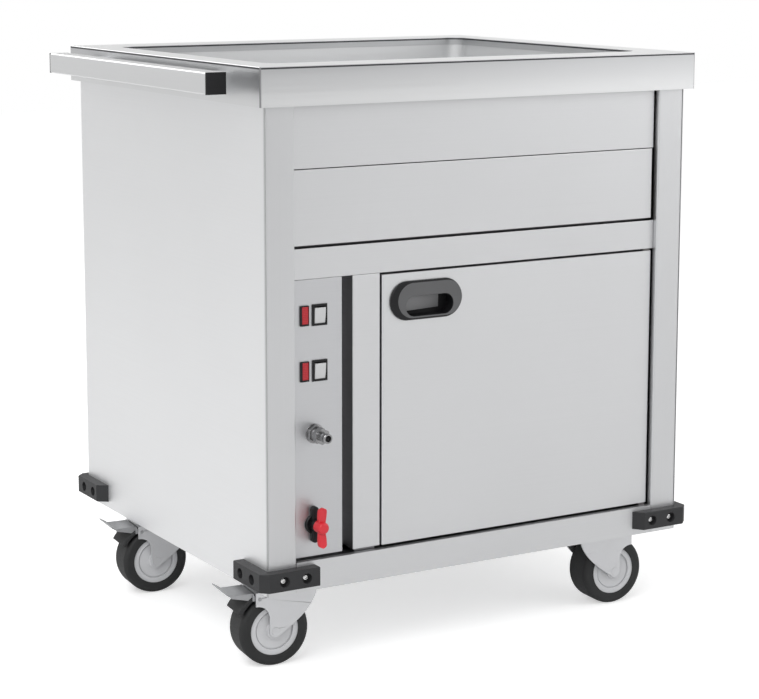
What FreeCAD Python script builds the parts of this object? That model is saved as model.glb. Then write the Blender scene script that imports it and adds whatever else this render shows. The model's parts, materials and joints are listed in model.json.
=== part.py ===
import FreeCAD, Part
import math
import os

# Hot-food serving trolley: a stainless cabinet with an open heated well in its worktop,
# a heated cupboard behind one door, a control panel, a push handle and four castors.
# Millimetres. +X runs right along the front, -Y is the front, +Z is up, the floor is z = 0.

# ---- worktop ----
top_width = 730.0          # along the front
top_depth = 650.0          # front to back
top_height = 850.0         # worktop surface above the floor
apron_height = 54.0        # front face of the worktop
top_sheet = 1.5
apron_return = 8.0         # inward lip at the bottom of the apron

# ---- cabinet body ----
overhang_side = 12.0       # worktop past the side panels
overhang_front = 11.0      # worktop past the posts, front and back
panel_sheet = 1.2
frame_sheet = 1.5
bend_radius = 2.0          # outside of a folded or pressed edge
post_face = 45.0           # width of a corner post as seen from the front, panel edge included
skirt_drop = 7.0           # lowest edge of the cabinet below the base pan
front_setback = 8.0        # front panels behind the post fronts
panel_tuck = 30.0          # side and back panels reach this far up behind the apron
seam = 0.3                 # butt joint between neighbouring sheets

# ---- front panels: the bands hang from the worktop, the rail stands on the base ----
fascia_height = 87.0       # shown below the apron
fascia_gap = 1.0
service_height = 104.6
service_gap = 3.6
mid_rail_height = 43.0
bottom_rail_rise = 35.5    # over the base pan's underside
panel_gap = 4.0            # control panel, stile and door over the bottom rail
door_top_gap = 3.0
return_depth = 14.0        # folded edges of the front panels
fascia_right_gap = 3.0
service_right_gap = 5.0
control_width = 78.0       # from the left post to the dark recess
recess_width = 17.0
recess_depth = 34.0
stile_width = 43.5
stile_depth = 40.0
stile_tab_inset = 5.0      # tab under the stile, inside its outline
rail_depth = 36.0

# ---- heated well ----
rim_side = 50.0            # worktop beside the opening, which takes two full-size
rim_front = 70.0           # food pans side by side, 630 x 510
well_corner = 25.0
well_lip = 12.0            # turned-down edge of the opening
well_depth = 210.0
well_floor_radius = 12.0
insulation_wall = 13.0
insulation_drop = 70.0     # top of the blanket below the worktop
heater_tube = 8.0
heater_gap = 0.3           # under the well floor
heater_bend = 30.0
heater_inset = 90.0        # element inside the well's edge
heater_runs = 6
heater_pocket = 45.0       # pocket in the insulation inside the well's edge

# ---- pipework and valve ----
coupling_offset = 33.5     # coupling to the right of the left post
valve_offset = 31.5        # valve to the right of the left post
pipe_diameter = 15.0
pipe_wall = 1.0
pipe_elbow = 20.0
drain_line = 164.0         # drain pipe behind the post fronts
overflow_line = 104.0
overflow_drop = 75.0       # overflow hole below the worktop
overflow_riser = 13.0      # riser centre inside the cabinet's left side
overflow_under = 50.0      # crossing pipe below the well's floor
valve_rise = 46.5          # valve over the panel's lower edge
coupling_rise = 20.25      # coupling over the middle between lower switch and valve
coupling_hex = 24.0        # across flats
coupling_nut = 9.0         # length of the nut on the panel
coupling_neck = 19.0
coupling_neck_length = 6.0
coupling_cap_hex = 21.0
coupling_cap = 9.0
coupling_reach = 40.0      # nozzle tip in front of the panel
coupling_nozzle = 14.0
coupling_bore = 9.0
spigot_length = 24.0       # fitting inside its pipe
bonnet_width = 11.0
bonnet_height = 52.0
bonnet_depth = 8.0
valve_flange = 28.0
valve_flange_depth = 4.0
valve_neck = 16.0
valve_neck_length = 6.0
lever_span = 58.0
lever_stand = 24.0         # lever plane in front of the panel
lever_thickness = 7.0
lever_root = 12.0
lever_tip = 9.0
lever_hub = 17.0
lever_hub_proud = 5.0
stem_end_gap = 1.0
stem_diameter = 8.0
stem_clearance = 0.08

# ---- control panel devices ----
lamp_width = 13.7
lamp_height = 28.0
bezel_width = 23.4
bezel_height = 30.0
bezel_rim = 2.2
bezel_proud = 2.4
device_body_depth = 22.0
lamp_from_post = 18.2      # lamp centre to the left post
device_pitch_x = 23.9      # lamp centre to switch centre
device_drop = 50.3         # upper devices below the panel's top
device_pitch_z = 78.0
rocker_tilt = 7.0          # half of the rocker's swing, degrees
rocker_clearance = 0.35
rocker_rise = 0.6          # rocker's middle in front of its bezel
rocker_window = 0.5        # bezel's lip past its body opening
rocker_depth = 9.0         # rocker behind the panel front
rocker_pin = 2.4
rocker_pin_clearance = 0.08
device_edge = 0.8
box_margin = 4.0           # wiring box inside the control panel
box_depth = 56.0
box_above = 36.0           # past the upper and lower device centres
rocker_pivot_depth = 3.0   # pivot line behind the panel front

# ---- heated cupboard ----
liner_sheet = 1.2
liner_left = 9.0           # right of the stile
liner_right = 13.0         # left of the right post
liner_floor_rise = 7.5     # over the panel's lower edge
liner_ceiling_drop = 10.8  # below the mid rail
liner_back_gap = 28.0
shelf_rise = 178.0         # shelf over the liner's floor
shelf_ledge = 14.0
shelf_clearance = 1.0
shelf_front = 34.0         # shelf behind the liner's flange
shelf_lip = 12.0
slot_rows = 3
slot_columns = 9
slot_length = 90.0
slot_width = 8.0
bearer_width = 30.0
bearer_left = 30.0         # from the stile
bearer_right = 50.0        # from the right post
bearer_ends = 20.0
element_length = 300.0
element_runs = 4
element_pitch = 60.0
element_bend = 29.0
element_back = 40.0        # last run from the liner's back
element_height = 12.0      # over the liner's floor
foot_width = 8.0
foot_pitch = 120.0

# ---- door ----
door_gap_hinge = 2.8
door_gap_latch = 4.0
door_thickness = 36.0
door_edge_radius = 3.0
hinge_inset = 7.0          # pin centre from the hinge edge and from the door face
hinge_pin = 6.0
hinge_clearance = 0.08
hinge_block = 13.0
gasket_width = 10.0
gasket_inset = 6.0
gasket_clearance = 0.4
dish_margin = 30.0         # raised panel on the door's inside
dish_depth = 8.0
catch_depth = 12.0
catch_height = 44.0
grip_width = 118.0
grip_height = 56.0
grip_from_latch = 71.5     # grip centre from the door's left edge
grip_from_top = 40.0
grip_pocket_right = 5.0    # pocket centre from the grip centre
grip_pocket_down = 5.5
grip_proud = 5.0
grip_pocket_width = 78.0
grip_pocket_height = 36.0
grip_pocket_depth = 20.0
grip_wall = 2.5

# ---- push handle ----
handle_tube_size = 30.0
handle_wall = 1.5
handle_gap = 25.0          # finger room between tube and worktop
handle_inset = 49.0        # tube ends inside the worktop's front and back edges
handle_edge = 2.5
cap_edge = 1.0
handle_drop = 8.0          # tube top below the worktop
cap_lip = 3.0
cap_plug = 18.0
bracket_from_end = 60.0
bracket_length = 30.0
bracket_sheet = 2.5
bracket_top_drop = 4.0     # below the tube's top
bracket_foot_drop = 5.0    # below the tube's underside
bracket_toe = 6.0          # short of the tube's outer face

# ---- corner bumpers ----
bumper_thickness = 16.0
bumper_arm = 90.0
bumper_rise = 3.0          # over the base pan's underside
bumper_height = 27.0
bumper_chamfer = 11.0
bumper_taper = 6.0         # slanted arm ends, each way from the arm length
bumper_edge = 1.5
bumper_screw_near = 34.5   # from the outer corner
bumper_screw_far = 69.5
bumper_well = 15.0         # counterbore for the screw head
bumper_well_depth = 7.0
screw_head = 10.0
screw_head_height = 3.5
screw_shank = 5.0
screw_length = 20.0
screw_recess = 4.0
screw_recess_depth = 2.0
screw_head_edge = 1.0

# ---- castors ----
wheel_diameter = 104.0
tyre_width = 48.0
tyre_shoulder = 7.0
tyre_depth = 16.0          # tread to rim
rim_width = 45.0
rim_ring = 7.75            # raised outer ring of the hub
rim_groove = 1.6
rim_groove_depth = 3.5
disc_recess = 2.0          # hub disc behind its outer ring
hub_boss_diameter = 24.0
axle_diameter = 12.0
axle_clearance = 0.08
castor_trail = 30.0
fork_sheet = 3.0
fork_inside = 52.0         # between the legs
fork_clearance = 4.5       # crown over the wheel
fork_nose = 60.0           # ahead of the swivel axis, over the wheel
fork_tail = 32.0
fork_tip_radius = 9.0
fork_shelf = 39.0          # these heights are over the axle
fork_shelf_fall = 4.0
fork_waist = 22.0
fork_belly_x = 26.0        # ahead of the axle, on the raked back edge
fork_belly_z = 7.5
fork_tail_run = 15.5
fork_hip = 25.5
fork_heel_drop = 8.5       # lowest point of the upright end, below the crown's top
swivel_gap = 0.4
race_diameter = 54.0
race_height = 5.8          # lower race
upper_race_height = 4.7
castor_plate_length = 96.0
castor_plate_width = 80.0
castor_plate_sheet = 3.0
castor_plate_corner = 8.0
castor_plate_bolt_x = 36.0
castor_plate_bolt_y = 16.0
castor_bolt = 8.0
castor_bolt_head = 13.0
castor_bolt_head_height = 3.0
weld_nut = 14.0            # across flats
weld_nut_height = 6.5
castor_bolt_end = 3.0      # past the weld nut
king_pin = 12.0
king_pin_clearance = 0.08
king_pin_head = 20.0
king_pin_head_height = 4.0
castor_left = 67.0         # swivel axis from the left side of the cabinet
castor_right = 112.0
castor_front = 67.0
castor_back = 160.0
pedal_width = 46.0
pedal_inner_width = 50.0   # cheeks between the fork's legs
pedal_lip_width = 60.0
pedal_reach = 104.0        # toe from the swivel axis
pedal_toe = 10.0
pedal_toe_rise = 6.0
pedal_drop = 1.5           # below the fork's crown
pedal_sheet = 2.0
pedal_flange = 11.0
pedal_pin = 5.0
pedal_pin_clearance = 0.08
pedal_pivot_ahead = 54.0
pedal_pivot_drop = 9.5
pedal_fork_gap = 1.5
shoe_gap = 5.0
shoe_thickness = 5.0
shoe_width = 38.0
shoe_start = 118.0         # degrees round the wheel from straight ahead
shoe_end = 150.0

# ---- cable gland ----
gland_from_left = 70.0
gland_rise = 65.0          # over the base pan's underside
gland_hex = 24.0
gland_hex_height = 6.0
gland_reach = 20.0
gland_dome = 19.0
gland_thread = 15.0
gland_thread_length = 10.0
gland_bore = 9.0

# ---- worked out from the values above ----
left = -(top_width / 2 - overhang_side)
right = -left
front = -(top_depth / 2 - overhang_front)
back = -front
apron_bottom = top_height - apron_height
top_underside = top_height - top_sheet
post_inner = right - post_face
post_size = post_face - panel_sheet
face = front + front_setback            # plane of the front panels
wheel_radius = wheel_diameter / 2
fork_crown_bottom = wheel_diameter + fork_clearance
fork_crown_top = fork_crown_bottom + fork_sheet
race_top = fork_crown_top + race_height
castor_plate_bottom = race_top + upper_race_height
base_underside = castor_plate_bottom + castor_plate_sheet
base_top = base_underside + frame_sheet
skirt_bottom = base_underside - skirt_drop
bottom_rail_top = base_underside + bottom_rail_rise
panel_bottom = bottom_rail_top + panel_gap
fascia_bottom = apron_bottom - fascia_height
service_top = fascia_bottom - fascia_gap
service_bottom = service_top - service_height
mid_rail_top = service_bottom - service_gap
door_zone_top = mid_rail_top - mid_rail_height
control_right = -post_inner + control_width
stile_left = control_right + recess_width
stile_right = stile_left + stile_width
door_left = stile_right + door_gap_latch
door_right = post_inner - door_gap_hinge
door_bottom = panel_bottom
door_top = door_zone_top - door_top_gap
door_back = face + door_thickness
flange_front = face + stile_depth       # liner flange seats on the back of the stile
hinge_x = door_right - hinge_inset
hinge_y = face + hinge_inset
coupling_x = -post_inner + coupling_offset
valve_x = -post_inner + valve_offset
well_length = top_width - 2 * rim_side
well_width = top_depth - 2 * rim_front
well_floor_top = top_height - well_depth
insulation_top = top_height - insulation_drop
overflow_height = top_height - overflow_drop
overflow_crossing = well_floor_top - overflow_under
upper_device_height = door_zone_top - device_drop
lower_device_height = upper_device_height - device_pitch_z
valve_height = panel_bottom + valve_rise
coupling_height = (lower_device_height + valve_height) / 2 + coupling_rise
liner_floor = panel_bottom + liner_floor_rise
liner_ceiling = door_zone_top - liner_ceiling_drop
shelf_height = liner_floor + shelf_rise
handle_length = top_depth - 2 * handle_inset
handle_outer = -(top_width / 2 + handle_gap + handle_tube_size)
handle_inner = handle_outer + handle_tube_size
handle_top = top_height - handle_drop
handle_bottom = handle_top - handle_tube_size
front_reach = max(coupling_reach, lever_stand + lever_thickness / 2 + lever_hub_proud)
body_x = -(handle_outer + right + bumper_thickness) / 2     # these two put the origin
body_y = -(face - front_reach + back + gland_reach) / 2     # under the middle of the part
rim_radius = wheel_radius - tyre_depth
pedal_top = fork_crown_top - pedal_drop
pedal_pivot_height = fork_crown_top - pedal_pivot_drop
bumper_bottom = base_underside + bumper_rise
gland_height = base_underside + gland_rise

# Each castor: swivel axis, the turn of its fork in degrees, and whether it has a brake.
castors = {
    "front_left": (left + castor_left, front + castor_front, -6.0, True),
    "back_left": (left + castor_left, back - castor_back, -4.8, True),
    "front_right": (right - castor_right, front + castor_front, 177.0, False),
    "back_right": (right - castor_right, back - castor_back, 168.0, False),
}

X = FreeCAD.Vector(1, 0, 0)
Y = FreeCAD.Vector(0, 1, 0)
Z = FreeCAD.Vector(0, 0, 1)


def point(x, y, z):
    return FreeCAD.Vector(x, y, z)


def block(x0, x1, y0, y1, z0, z1):
    return Part.makeBox(x1 - x0, y1 - y0, z1 - z0, point(x0, y0, z0))


def rod(diameter, start, direction, length):
    return Part.makeCylinder(diameter / 2, length, start, direction)


def join(shapes):
    first, *rest = shapes
    return first.multiFuse(rest).removeSplitter() if rest else first


def prism(points, direction):
    """A closed outline of points, pushed along a direction."""
    wire = Part.makePolygon(points + [points[0]])
    return Part.Face(wire).extrude(direction)


def rounded_block(x0, x1, y0, y1, z0, z1, radius):
    """A block whose upright edges are rounded."""
    solid = block(x0, x1, y0, y1, z0, z1)
    upright = [e for e in solid.Edges if abs(e.Length - (z1 - z0)) < 1e-6
               and abs(e.tangentAt(e.FirstParameter).z) > 0.99]
    return solid.makeFillet(radius, upright)


def hex_prism(across_flats, start, direction, length):
    """A hexagonal prism from start along an axis direction."""
    reach = across_flats / math.sqrt(3)
    second = Y if abs(direction.z) > 0.5 else Z
    corners = []
    for n in range(6):
        angle = math.radians(60 * n)
        corners.append(start + X * (reach * math.cos(angle)) + second * (reach * math.sin(angle)))
    return prism(corners, direction * length)


def stadium(width, height, centre, depth):
    """A slot-ended plate in the XZ plane, pushed along +Y by depth."""
    r = height / 2
    half = width / 2 - r
    parts = [block(centre.x - half, centre.x + half, centre.y, centre.y + depth,
                   centre.z - r, centre.z + r)]
    for side in (-1, 1):
        parts.append(rod(height, point(centre.x + side * half, centre.y, centre.z), Y, depth))
    return join(parts)


def front_rounded(solid, y, radius):
    """Rounds the edges of a block's front face, as a press brake leaves them."""
    edges = [e for e in solid.Edges if e.BoundBox.YMax < y + 0.01]
    return solid.makeFillet(radius, edges)


def tray(x0, x1, z0, z1, depth):
    """A front panel: a face with its four edges folded back."""
    s = panel_sheet
    outside = front_rounded(block(x0, x1, face, face + depth, z0, z1), face, bend_radius / 2)
    return outside.cut(block(x0 + s, x1 - s, face + s, face + depth, z0 + s, z1 - s))


def bent_path(points, radius):
    """Straight runs joined by tangent arcs."""
    edges = []
    start = points[0]
    for before, corner, after in zip(points, points[1:], points[2:]):
        u = (before - corner).normalize()
        v = (after - corner).normalize()
        half = u.getAngle(v) / 2
        reach = radius / math.tan(half)
        enter = corner + u * reach
        leave = corner + v * reach
        bisector = (u + v).normalize()
        middle = corner + bisector * (radius / math.sin(half) - radius)
        edges.append(Part.LineSegment(start, enter).toShape())
        edges.append(Part.Arc(enter, middle, leave).toShape())
        start = leave
    edges.append(Part.LineSegment(start, points[-1]).toShape())
    return Part.Wire(edges)


def sweep(points, radius, diameter):
    """A round rod along a bent path."""
    path = bent_path(points, radius)
    heading = points[1] - points[0]
    circle = Part.Wire(Part.makeCircle(diameter / 2, points[0], heading))
    return path.makePipeShell([circle], True, False)


def pipe(points):
    outside = sweep(points, pipe_elbow, pipe_diameter)
    return outside.cut(sweep(points, pipe_elbow, pipe_diameter - 2 * pipe_wall))


def save(name, *solids):
    """Writes one node. More than one solid is a group of identical pieces."""
    shape = solids[0] if len(solids) == 1 else Part.makeCompound(list(solids))
    moved = shape.copy()
    moved.translate(point(body_x, body_y, 0))
    moved.exportStep("parts/" + name + ".step")
    volume = sum(s.Volume for s in moved.Solids)
    print(f"{name}: {len(moved.Solids)} solid, {volume / 1000:.1f} cm3, valid {moved.isValid()}")


def save_worktop():
    half_x = top_width / 2
    half_y = top_depth / 2
    skin = rounded_block(-half_x, half_x, -half_y, half_y, apron_bottom, top_height, bend_radius)
    rim = [e for e in skin.Edges if e.BoundBox.ZMin > top_height - 0.01]
    skin = skin.makeFillet(bend_radius / 2, rim)
    skin = skin.cut(block(-half_x + top_sheet, half_x - top_sheet, -half_y + top_sheet,
                          half_y - top_sheet, apron_bottom + top_sheet, top_underside))
    inset = top_sheet + apron_return
    skin = skin.cut(block(-half_x + inset, half_x - inset, -half_y + inset, half_y - inset,
                          apron_bottom, apron_bottom + top_sheet))
    lip = well_outline(top_sheet, top_height - well_lip, top_height)
    opening = well_outline(0, top_height - well_lip, top_height)
    save("worktop", skin.fuse(lip).cut(opening).removeSplitter())


def well_outline(grow, z0, z1):
    """The well's plan shape, grown all round, between two heights."""
    x = well_length / 2 + grow
    y = well_width / 2 + grow
    return rounded_block(-x, x, -y, y, z0, z1, well_corner + grow)


def rounded_floor(solid, z, radius):
    low = [e for e in solid.Edges if e.BoundBox.ZMax < z + 0.01]
    return solid.makeFillet(radius, low)


def overflow_points():
    """Centreline of the overflow: out of the well's left wall, down and over to the coupling."""
    y = front + overflow_line
    riser = left + overflow_riser
    return [point(-well_length / 2 - top_sheet - panel_sheet, y, overflow_height),
            point(riser, y, overflow_height),
            point(riser, y, overflow_crossing),
            point(coupling_x, y, overflow_crossing),
            point(coupling_x, y, coupling_height),
            point(coupling_x, face + panel_sheet + seam, coupling_height)]


def save_well():
    inner = top_sheet
    outer = inner + panel_sheet
    floor_bottom = well_floor_top - panel_sheet
    shell = rounded_floor(well_outline(outer, floor_bottom, top_underside), floor_bottom,
                          well_floor_radius + panel_sheet)
    hollow = rounded_floor(well_outline(inner, well_floor_top, top_underside), well_floor_top,
                           well_floor_radius)
    drain = point(valve_x, front + drain_line, 0)
    overflow = overflow_points()[0]
    shell = shell.cut(hollow)
    shell = shell.cut(rod(pipe_diameter, drain, Z, well_floor_top + panel_sheet))
    shell = shell.cut(rod(pipe_diameter, overflow, X, 2 * panel_sheet))
    save("well_basin", shell)

    pocket_floor = floor_bottom - heater_tube - 2 * heater_gap
    pad_bottom = pocket_floor - insulation_wall
    wrap = well_outline(outer + insulation_wall, pad_bottom, insulation_top)
    wrap = wrap.cut(well_outline(outer + seam, floor_bottom - seam, insulation_top))
    x = well_length / 2 - heater_pocket
    y = well_width / 2 - heater_pocket
    wrap = wrap.cut(block(-x, x, -y, y, pocket_floor, floor_bottom))
    wrap = wrap.cut(rod(pipe_diameter + 2 * seam, drain, Z, well_floor_top))
    wrap = wrap.cut(rod(pipe_diameter + 2 * seam, overflow, -X, 2 * insulation_wall))
    notch = pipe_diameter / 2 + seam
    wrap = wrap.cut(block(overflow.x - 2 * insulation_wall, overflow.x, overflow.y - notch,
                          overflow.y + notch, overflow_height - pipe_elbow, overflow_height))
    save("well_insulation", wrap)

    x = well_length / 2 - heater_inset
    y = well_width / 2 - heater_inset
    z = floor_bottom - heater_gap - heater_tube / 2
    pitch = 2 * x / (heater_runs - 1)
    points = []
    for n in range(heater_runs):
        ends = (-y, y) if n % 2 == 0 else (y, -y)
        points += [point(-x + n * pitch, end, z) for end in ends]
    save("well_heater", sweep(points, heater_bend, heater_tube))


def bumper_corners():
    """Each corner's two side signs and the slant of its arm ends."""
    for sx in (-1, 1):
        for sy in (-1, 1):
            square = sx < 0 and sy < 0
            yield sx, sy, 0 if square else bumper_taper


def bumper_screw_spots(sx, sy):
    """Screw centres on the faces of one bumper, each with its inward direction."""
    x = sx * (right + bumper_thickness)
    y = sy * (back + bumper_thickness)
    z = bumper_bottom + bumper_height / 2
    for along in (bumper_screw_near, bumper_screw_far):
        yield point(x - sx * along, y, z), Y * -sy
        yield point(x, y - sy * along, z), X * -sx


def screw_holes():
    """Clearance for every bumper screw through the sheets behind the bumpers."""
    holes = []
    for sx, sy, _ in bumper_corners():
        for spot, inward in bumper_screw_spots(sx, sy):
            holes.append(rod(screw_shank + 2 * seam, spot, inward, 2 * screw_length))
    return Part.makeCompound(holes)


def castor_bolt_spots():
    """Every castor bolt's axis in plan."""
    for x, y, _, _ in castors.values():
        for sx in (-1, 1):
            for sy in (-1, 1):
                yield x + sx * castor_plate_bolt_x, y + sy * castor_plate_bolt_y


def save_frame():
    holes = screw_holes()
    posts = []
    t = frame_sheet
    for sx in (-1, 1):
        for sy in (-1, 1):
            x_out = sx * (right - panel_sheet)
            y_out = front if sy < 0 else back - panel_sheet
            x0, x1 = sorted((x_out, x_out - sx * post_size))
            y0, y1 = sorted((y_out, y_out - sy * post_size))
            outside = rounded_block(x0, x1, y0, y1, base_top, top_underside, bend_radius)
            inside = block(x0 + t, x1 - t, y0 + t, y1 - t, base_top, top_underside)
            posts.append(outside.cut(inside).cut(holes))
    save("corner_posts", *posts)

    panel_top = apron_bottom + panel_tuck
    for name, x0 in (("side_panel_left", left), ("side_panel_right", right - panel_sheet)):
        side = block(x0, x0 + panel_sheet, front, back, skirt_bottom, panel_top)
        save(name, side.cut(holes))
    rear = block(left + panel_sheet, right - panel_sheet, back - panel_sheet, back,
                 skirt_bottom, panel_top)
    gland_start = point(left + gland_from_left, back - panel_sheet, gland_height)
    save("back_panel", rear.cut(holes).cut(rod(gland_thread, gland_start, Y, panel_sheet)))

    x = right - panel_sheet
    parts = [block(-x, x, front + t, back - panel_sheet, base_underside, base_top)]
    for side in (-1, 1):
        x0, x1 = sorted((side * post_inner, side * x))
        parts.append(block(x0, x1, front, front + t, skirt_bottom, base_top))
    y0 = flange_front + bearer_ends
    y1 = back - liner_back_gap - bearer_ends
    for x0 in (stile_right + bearer_left, post_inner - bearer_right - bearer_width):
        x1 = x0 + bearer_width
        channel = block(x0, x1, y0, y1, base_top, liner_floor)
        parts.append(channel.cut(block(x0 + t, x1 - t, y0, y1, base_top, liner_floor - t)))
    cuts = []
    for x, y in castor_bolt_spots():
        parts.append(hex_prism(weld_nut, point(x, y, base_top), Z, weld_nut_height))
        cuts.append(rod(castor_bolt + 2 * seam, point(x, y, 0), Z, liner_floor))
    save("base_pan", join(parts).cut(Part.makeCompound(cuts)))

    x = post_inner - seam
    y = front + rail_depth - front_setback
    rail = block(-x, x, front, y, skirt_bottom, bottom_rail_top)
    rail = rail.cut(block(-x, x, front + t, y, skirt_bottom, base_top))
    rail = rail.cut(block(-x, x, front + t, y - t, base_top, bottom_rail_top - t))
    save("bottom_rail", rail.cut(holes))


def save_front():
    x = post_inner - seam
    save("upper_fascia", tray(-x, post_inner - fascia_right_gap, fascia_bottom,
                              apron_bottom + panel_tuck / 2, return_depth))
    rail = block(-x, x, face, face + rail_depth, door_zone_top + seam / 2, mid_rail_top)
    rail = rail.cut(block(-x, x, face + frame_sheet, face + rail_depth - frame_sheet,
                          door_zone_top + frame_sheet, mid_rail_top - frame_sheet))
    save("mid_rail", rail)

    panel = tray(-x, post_inner - service_right_gap, service_bottom, service_top, return_depth)
    foot = block(-x, post_inner - service_right_gap, face + return_depth - panel_sheet,
                 face + return_depth, mid_rail_top, service_bottom + panel_sheet)
    save("service_panel", panel.fuse(foot).removeSplitter())

    post = block(stile_left, stile_right, face, flange_front, panel_bottom,
                 door_zone_top)
    post = post.cut(block(stile_left + frame_sheet, stile_right - frame_sheet,
                          face + frame_sheet, flange_front - frame_sheet,
                          panel_bottom + frame_sheet, door_zone_top - frame_sheet))
    tab = block(stile_left + stile_tab_inset, stile_right - stile_tab_inset,
                face + stile_tab_inset, front + rail_depth - front_setback,
                bottom_rail_top, panel_bottom)
    save("stile", post.fuse(tab).removeSplitter())
    save_control_panel()


def device_places():
    """Lamp and switch centres, upper row first."""
    lamp_x = -post_inner + lamp_from_post
    for z in (upper_device_height, lower_device_height):
        yield lamp_x, lamp_x + device_pitch_x, z


def save_control_panel():
    x0 = -post_inner + seam
    panel = tray(x0, control_right, panel_bottom, door_zone_top, return_depth)
    fold = block(control_right - panel_sheet, control_right, face + return_depth,
                 face + recess_depth, panel_bottom, door_zone_top)
    strip = block(control_right - panel_sheet, stile_left, face + recess_depth - panel_sheet,
                  face + recess_depth, panel_bottom, door_zone_top)
    foot = block(x0, control_right, face + return_depth - panel_sheet, face + return_depth,
                 bottom_rail_top, panel_bottom + panel_sheet)
    panel = join([panel, fold, strip, foot])
    cuts = []
    for lamp_x, switch_x, z in device_places():
        for x, width, height in ((lamp_x, lamp_width, lamp_height),
                                 (switch_x, bezel_width, bezel_height)):
            w = width - 2 * bezel_rim
            h = height - 2 * bezel_rim
            cuts.append(block(x - w / 2, x + w / 2, face, face + panel_sheet,
                              z - h / 2, z + h / 2))
    for x, z in ((valve_x, valve_height), (coupling_x, coupling_height)):
        cuts.append(rod(pipe_diameter, point(x, face, z), Y, panel_sheet))
    save("control_panel", panel.cut(Part.makeCompound(cuts)))

    lamps = []
    bezels = []
    rockers = []
    for lamp_x, switch_x, z in device_places():
        lamps.append(device(lamp_x, z, lamp_width, lamp_height))
        bezel = device(switch_x, z, bezel_width, bezel_height)
        w = bezel_width - 2 * bezel_rim - 2 * seam - 2 * rocker_window
        h = bezel_height - 2 * bezel_rim - 2 * seam - 2 * rocker_window
        bezel = bezel.cut(block(switch_x - w / 2, switch_x + w / 2, face - bezel_proud,
                                face + rocker_depth + bezel_proud, z - h / 2, z + h / 2))
        bezels.append(bezel.cut(rocker_axle(switch_x, z, rocker_pin + 2 * rocker_pin_clearance)))
        rockers.append(rocker(switch_x, z, w - 2 * rocker_clearance, h))
    save("indicator_lamps", *lamps)
    save("switch_bezels", *bezels)
    save("well_switch", rockers[0])
    save("cupboard_switch", rockers[1])
    save_wiring_box()


def device(x, z, width, height):
    """A snap-in panel device: a rim on the panel and a body through it."""
    rim = block(x - width / 2, x + width / 2, face - bezel_proud, face, z - height / 2,
                z + height / 2)
    front_edges = [e for e in rim.Edges if e.BoundBox.YMax < face - bezel_proud + 0.01]
    rim = rim.makeFillet(device_edge, front_edges)
    w = width - 2 * bezel_rim - 2 * seam
    h = height - 2 * bezel_rim - 2 * seam
    body = block(x - w / 2, x + w / 2, face, face + device_body_depth, z - h / 2, z + h / 2)
    return rim.fuse(body).removeSplitter()


def rocker(x, z, width, window):
    """A rocker tilted to its first position. Its pivot line runs along X."""
    tilt = math.radians(rocker_tilt)
    rise = bezel_proud + rocker_rise
    swing = (rise + rocker_pivot_depth) * math.sin(tilt)
    reach = (window / 2 - rocker_clearance - swing) / math.cos(tilt)
    dip = reach * math.tan(tilt) / 4
    taper = rocker_depth / 4
    sections = ((-rise, 0), (dip - rise, reach), (rocker_depth - taper, reach - taper),
                (rocker_depth, 0), (rocker_depth - taper, taper - reach), (dip - rise, -reach))
    solid = prism([point(x - width / 2, face + y, z + up) for y, up in sections], X * width)
    solid = solid.fuse(rocker_axle(x, z, rocker_pin))
    solid.rotate(point(x, face + rocker_pivot_depth, z), X, rocker_tilt)
    return solid


def rocker_axle(x, z, diameter):
    """The line that a rocker turns on, as long as its bezel's body is wide."""
    length = bezel_width - 2 * bezel_rim - 2 * seam
    return rod(diameter, point(x - length / 2, face + rocker_pivot_depth, z), X, length)


def save_wiring_box():
    x0, x1 = box_margin - post_inner, control_right - box_margin
    y0, y1 = face + panel_sheet, face + box_depth
    z0 = lower_device_height - box_above
    z1 = upper_device_height + box_above
    box = block(x0, x1, y0, y1, z0, z1)
    box = box.cut(block(x0 + panel_sheet, x1 - panel_sheet, y0, y1 - panel_sheet,
                        z0 + panel_sheet, z1 - panel_sheet))
    save("wiring_box", box)


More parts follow.
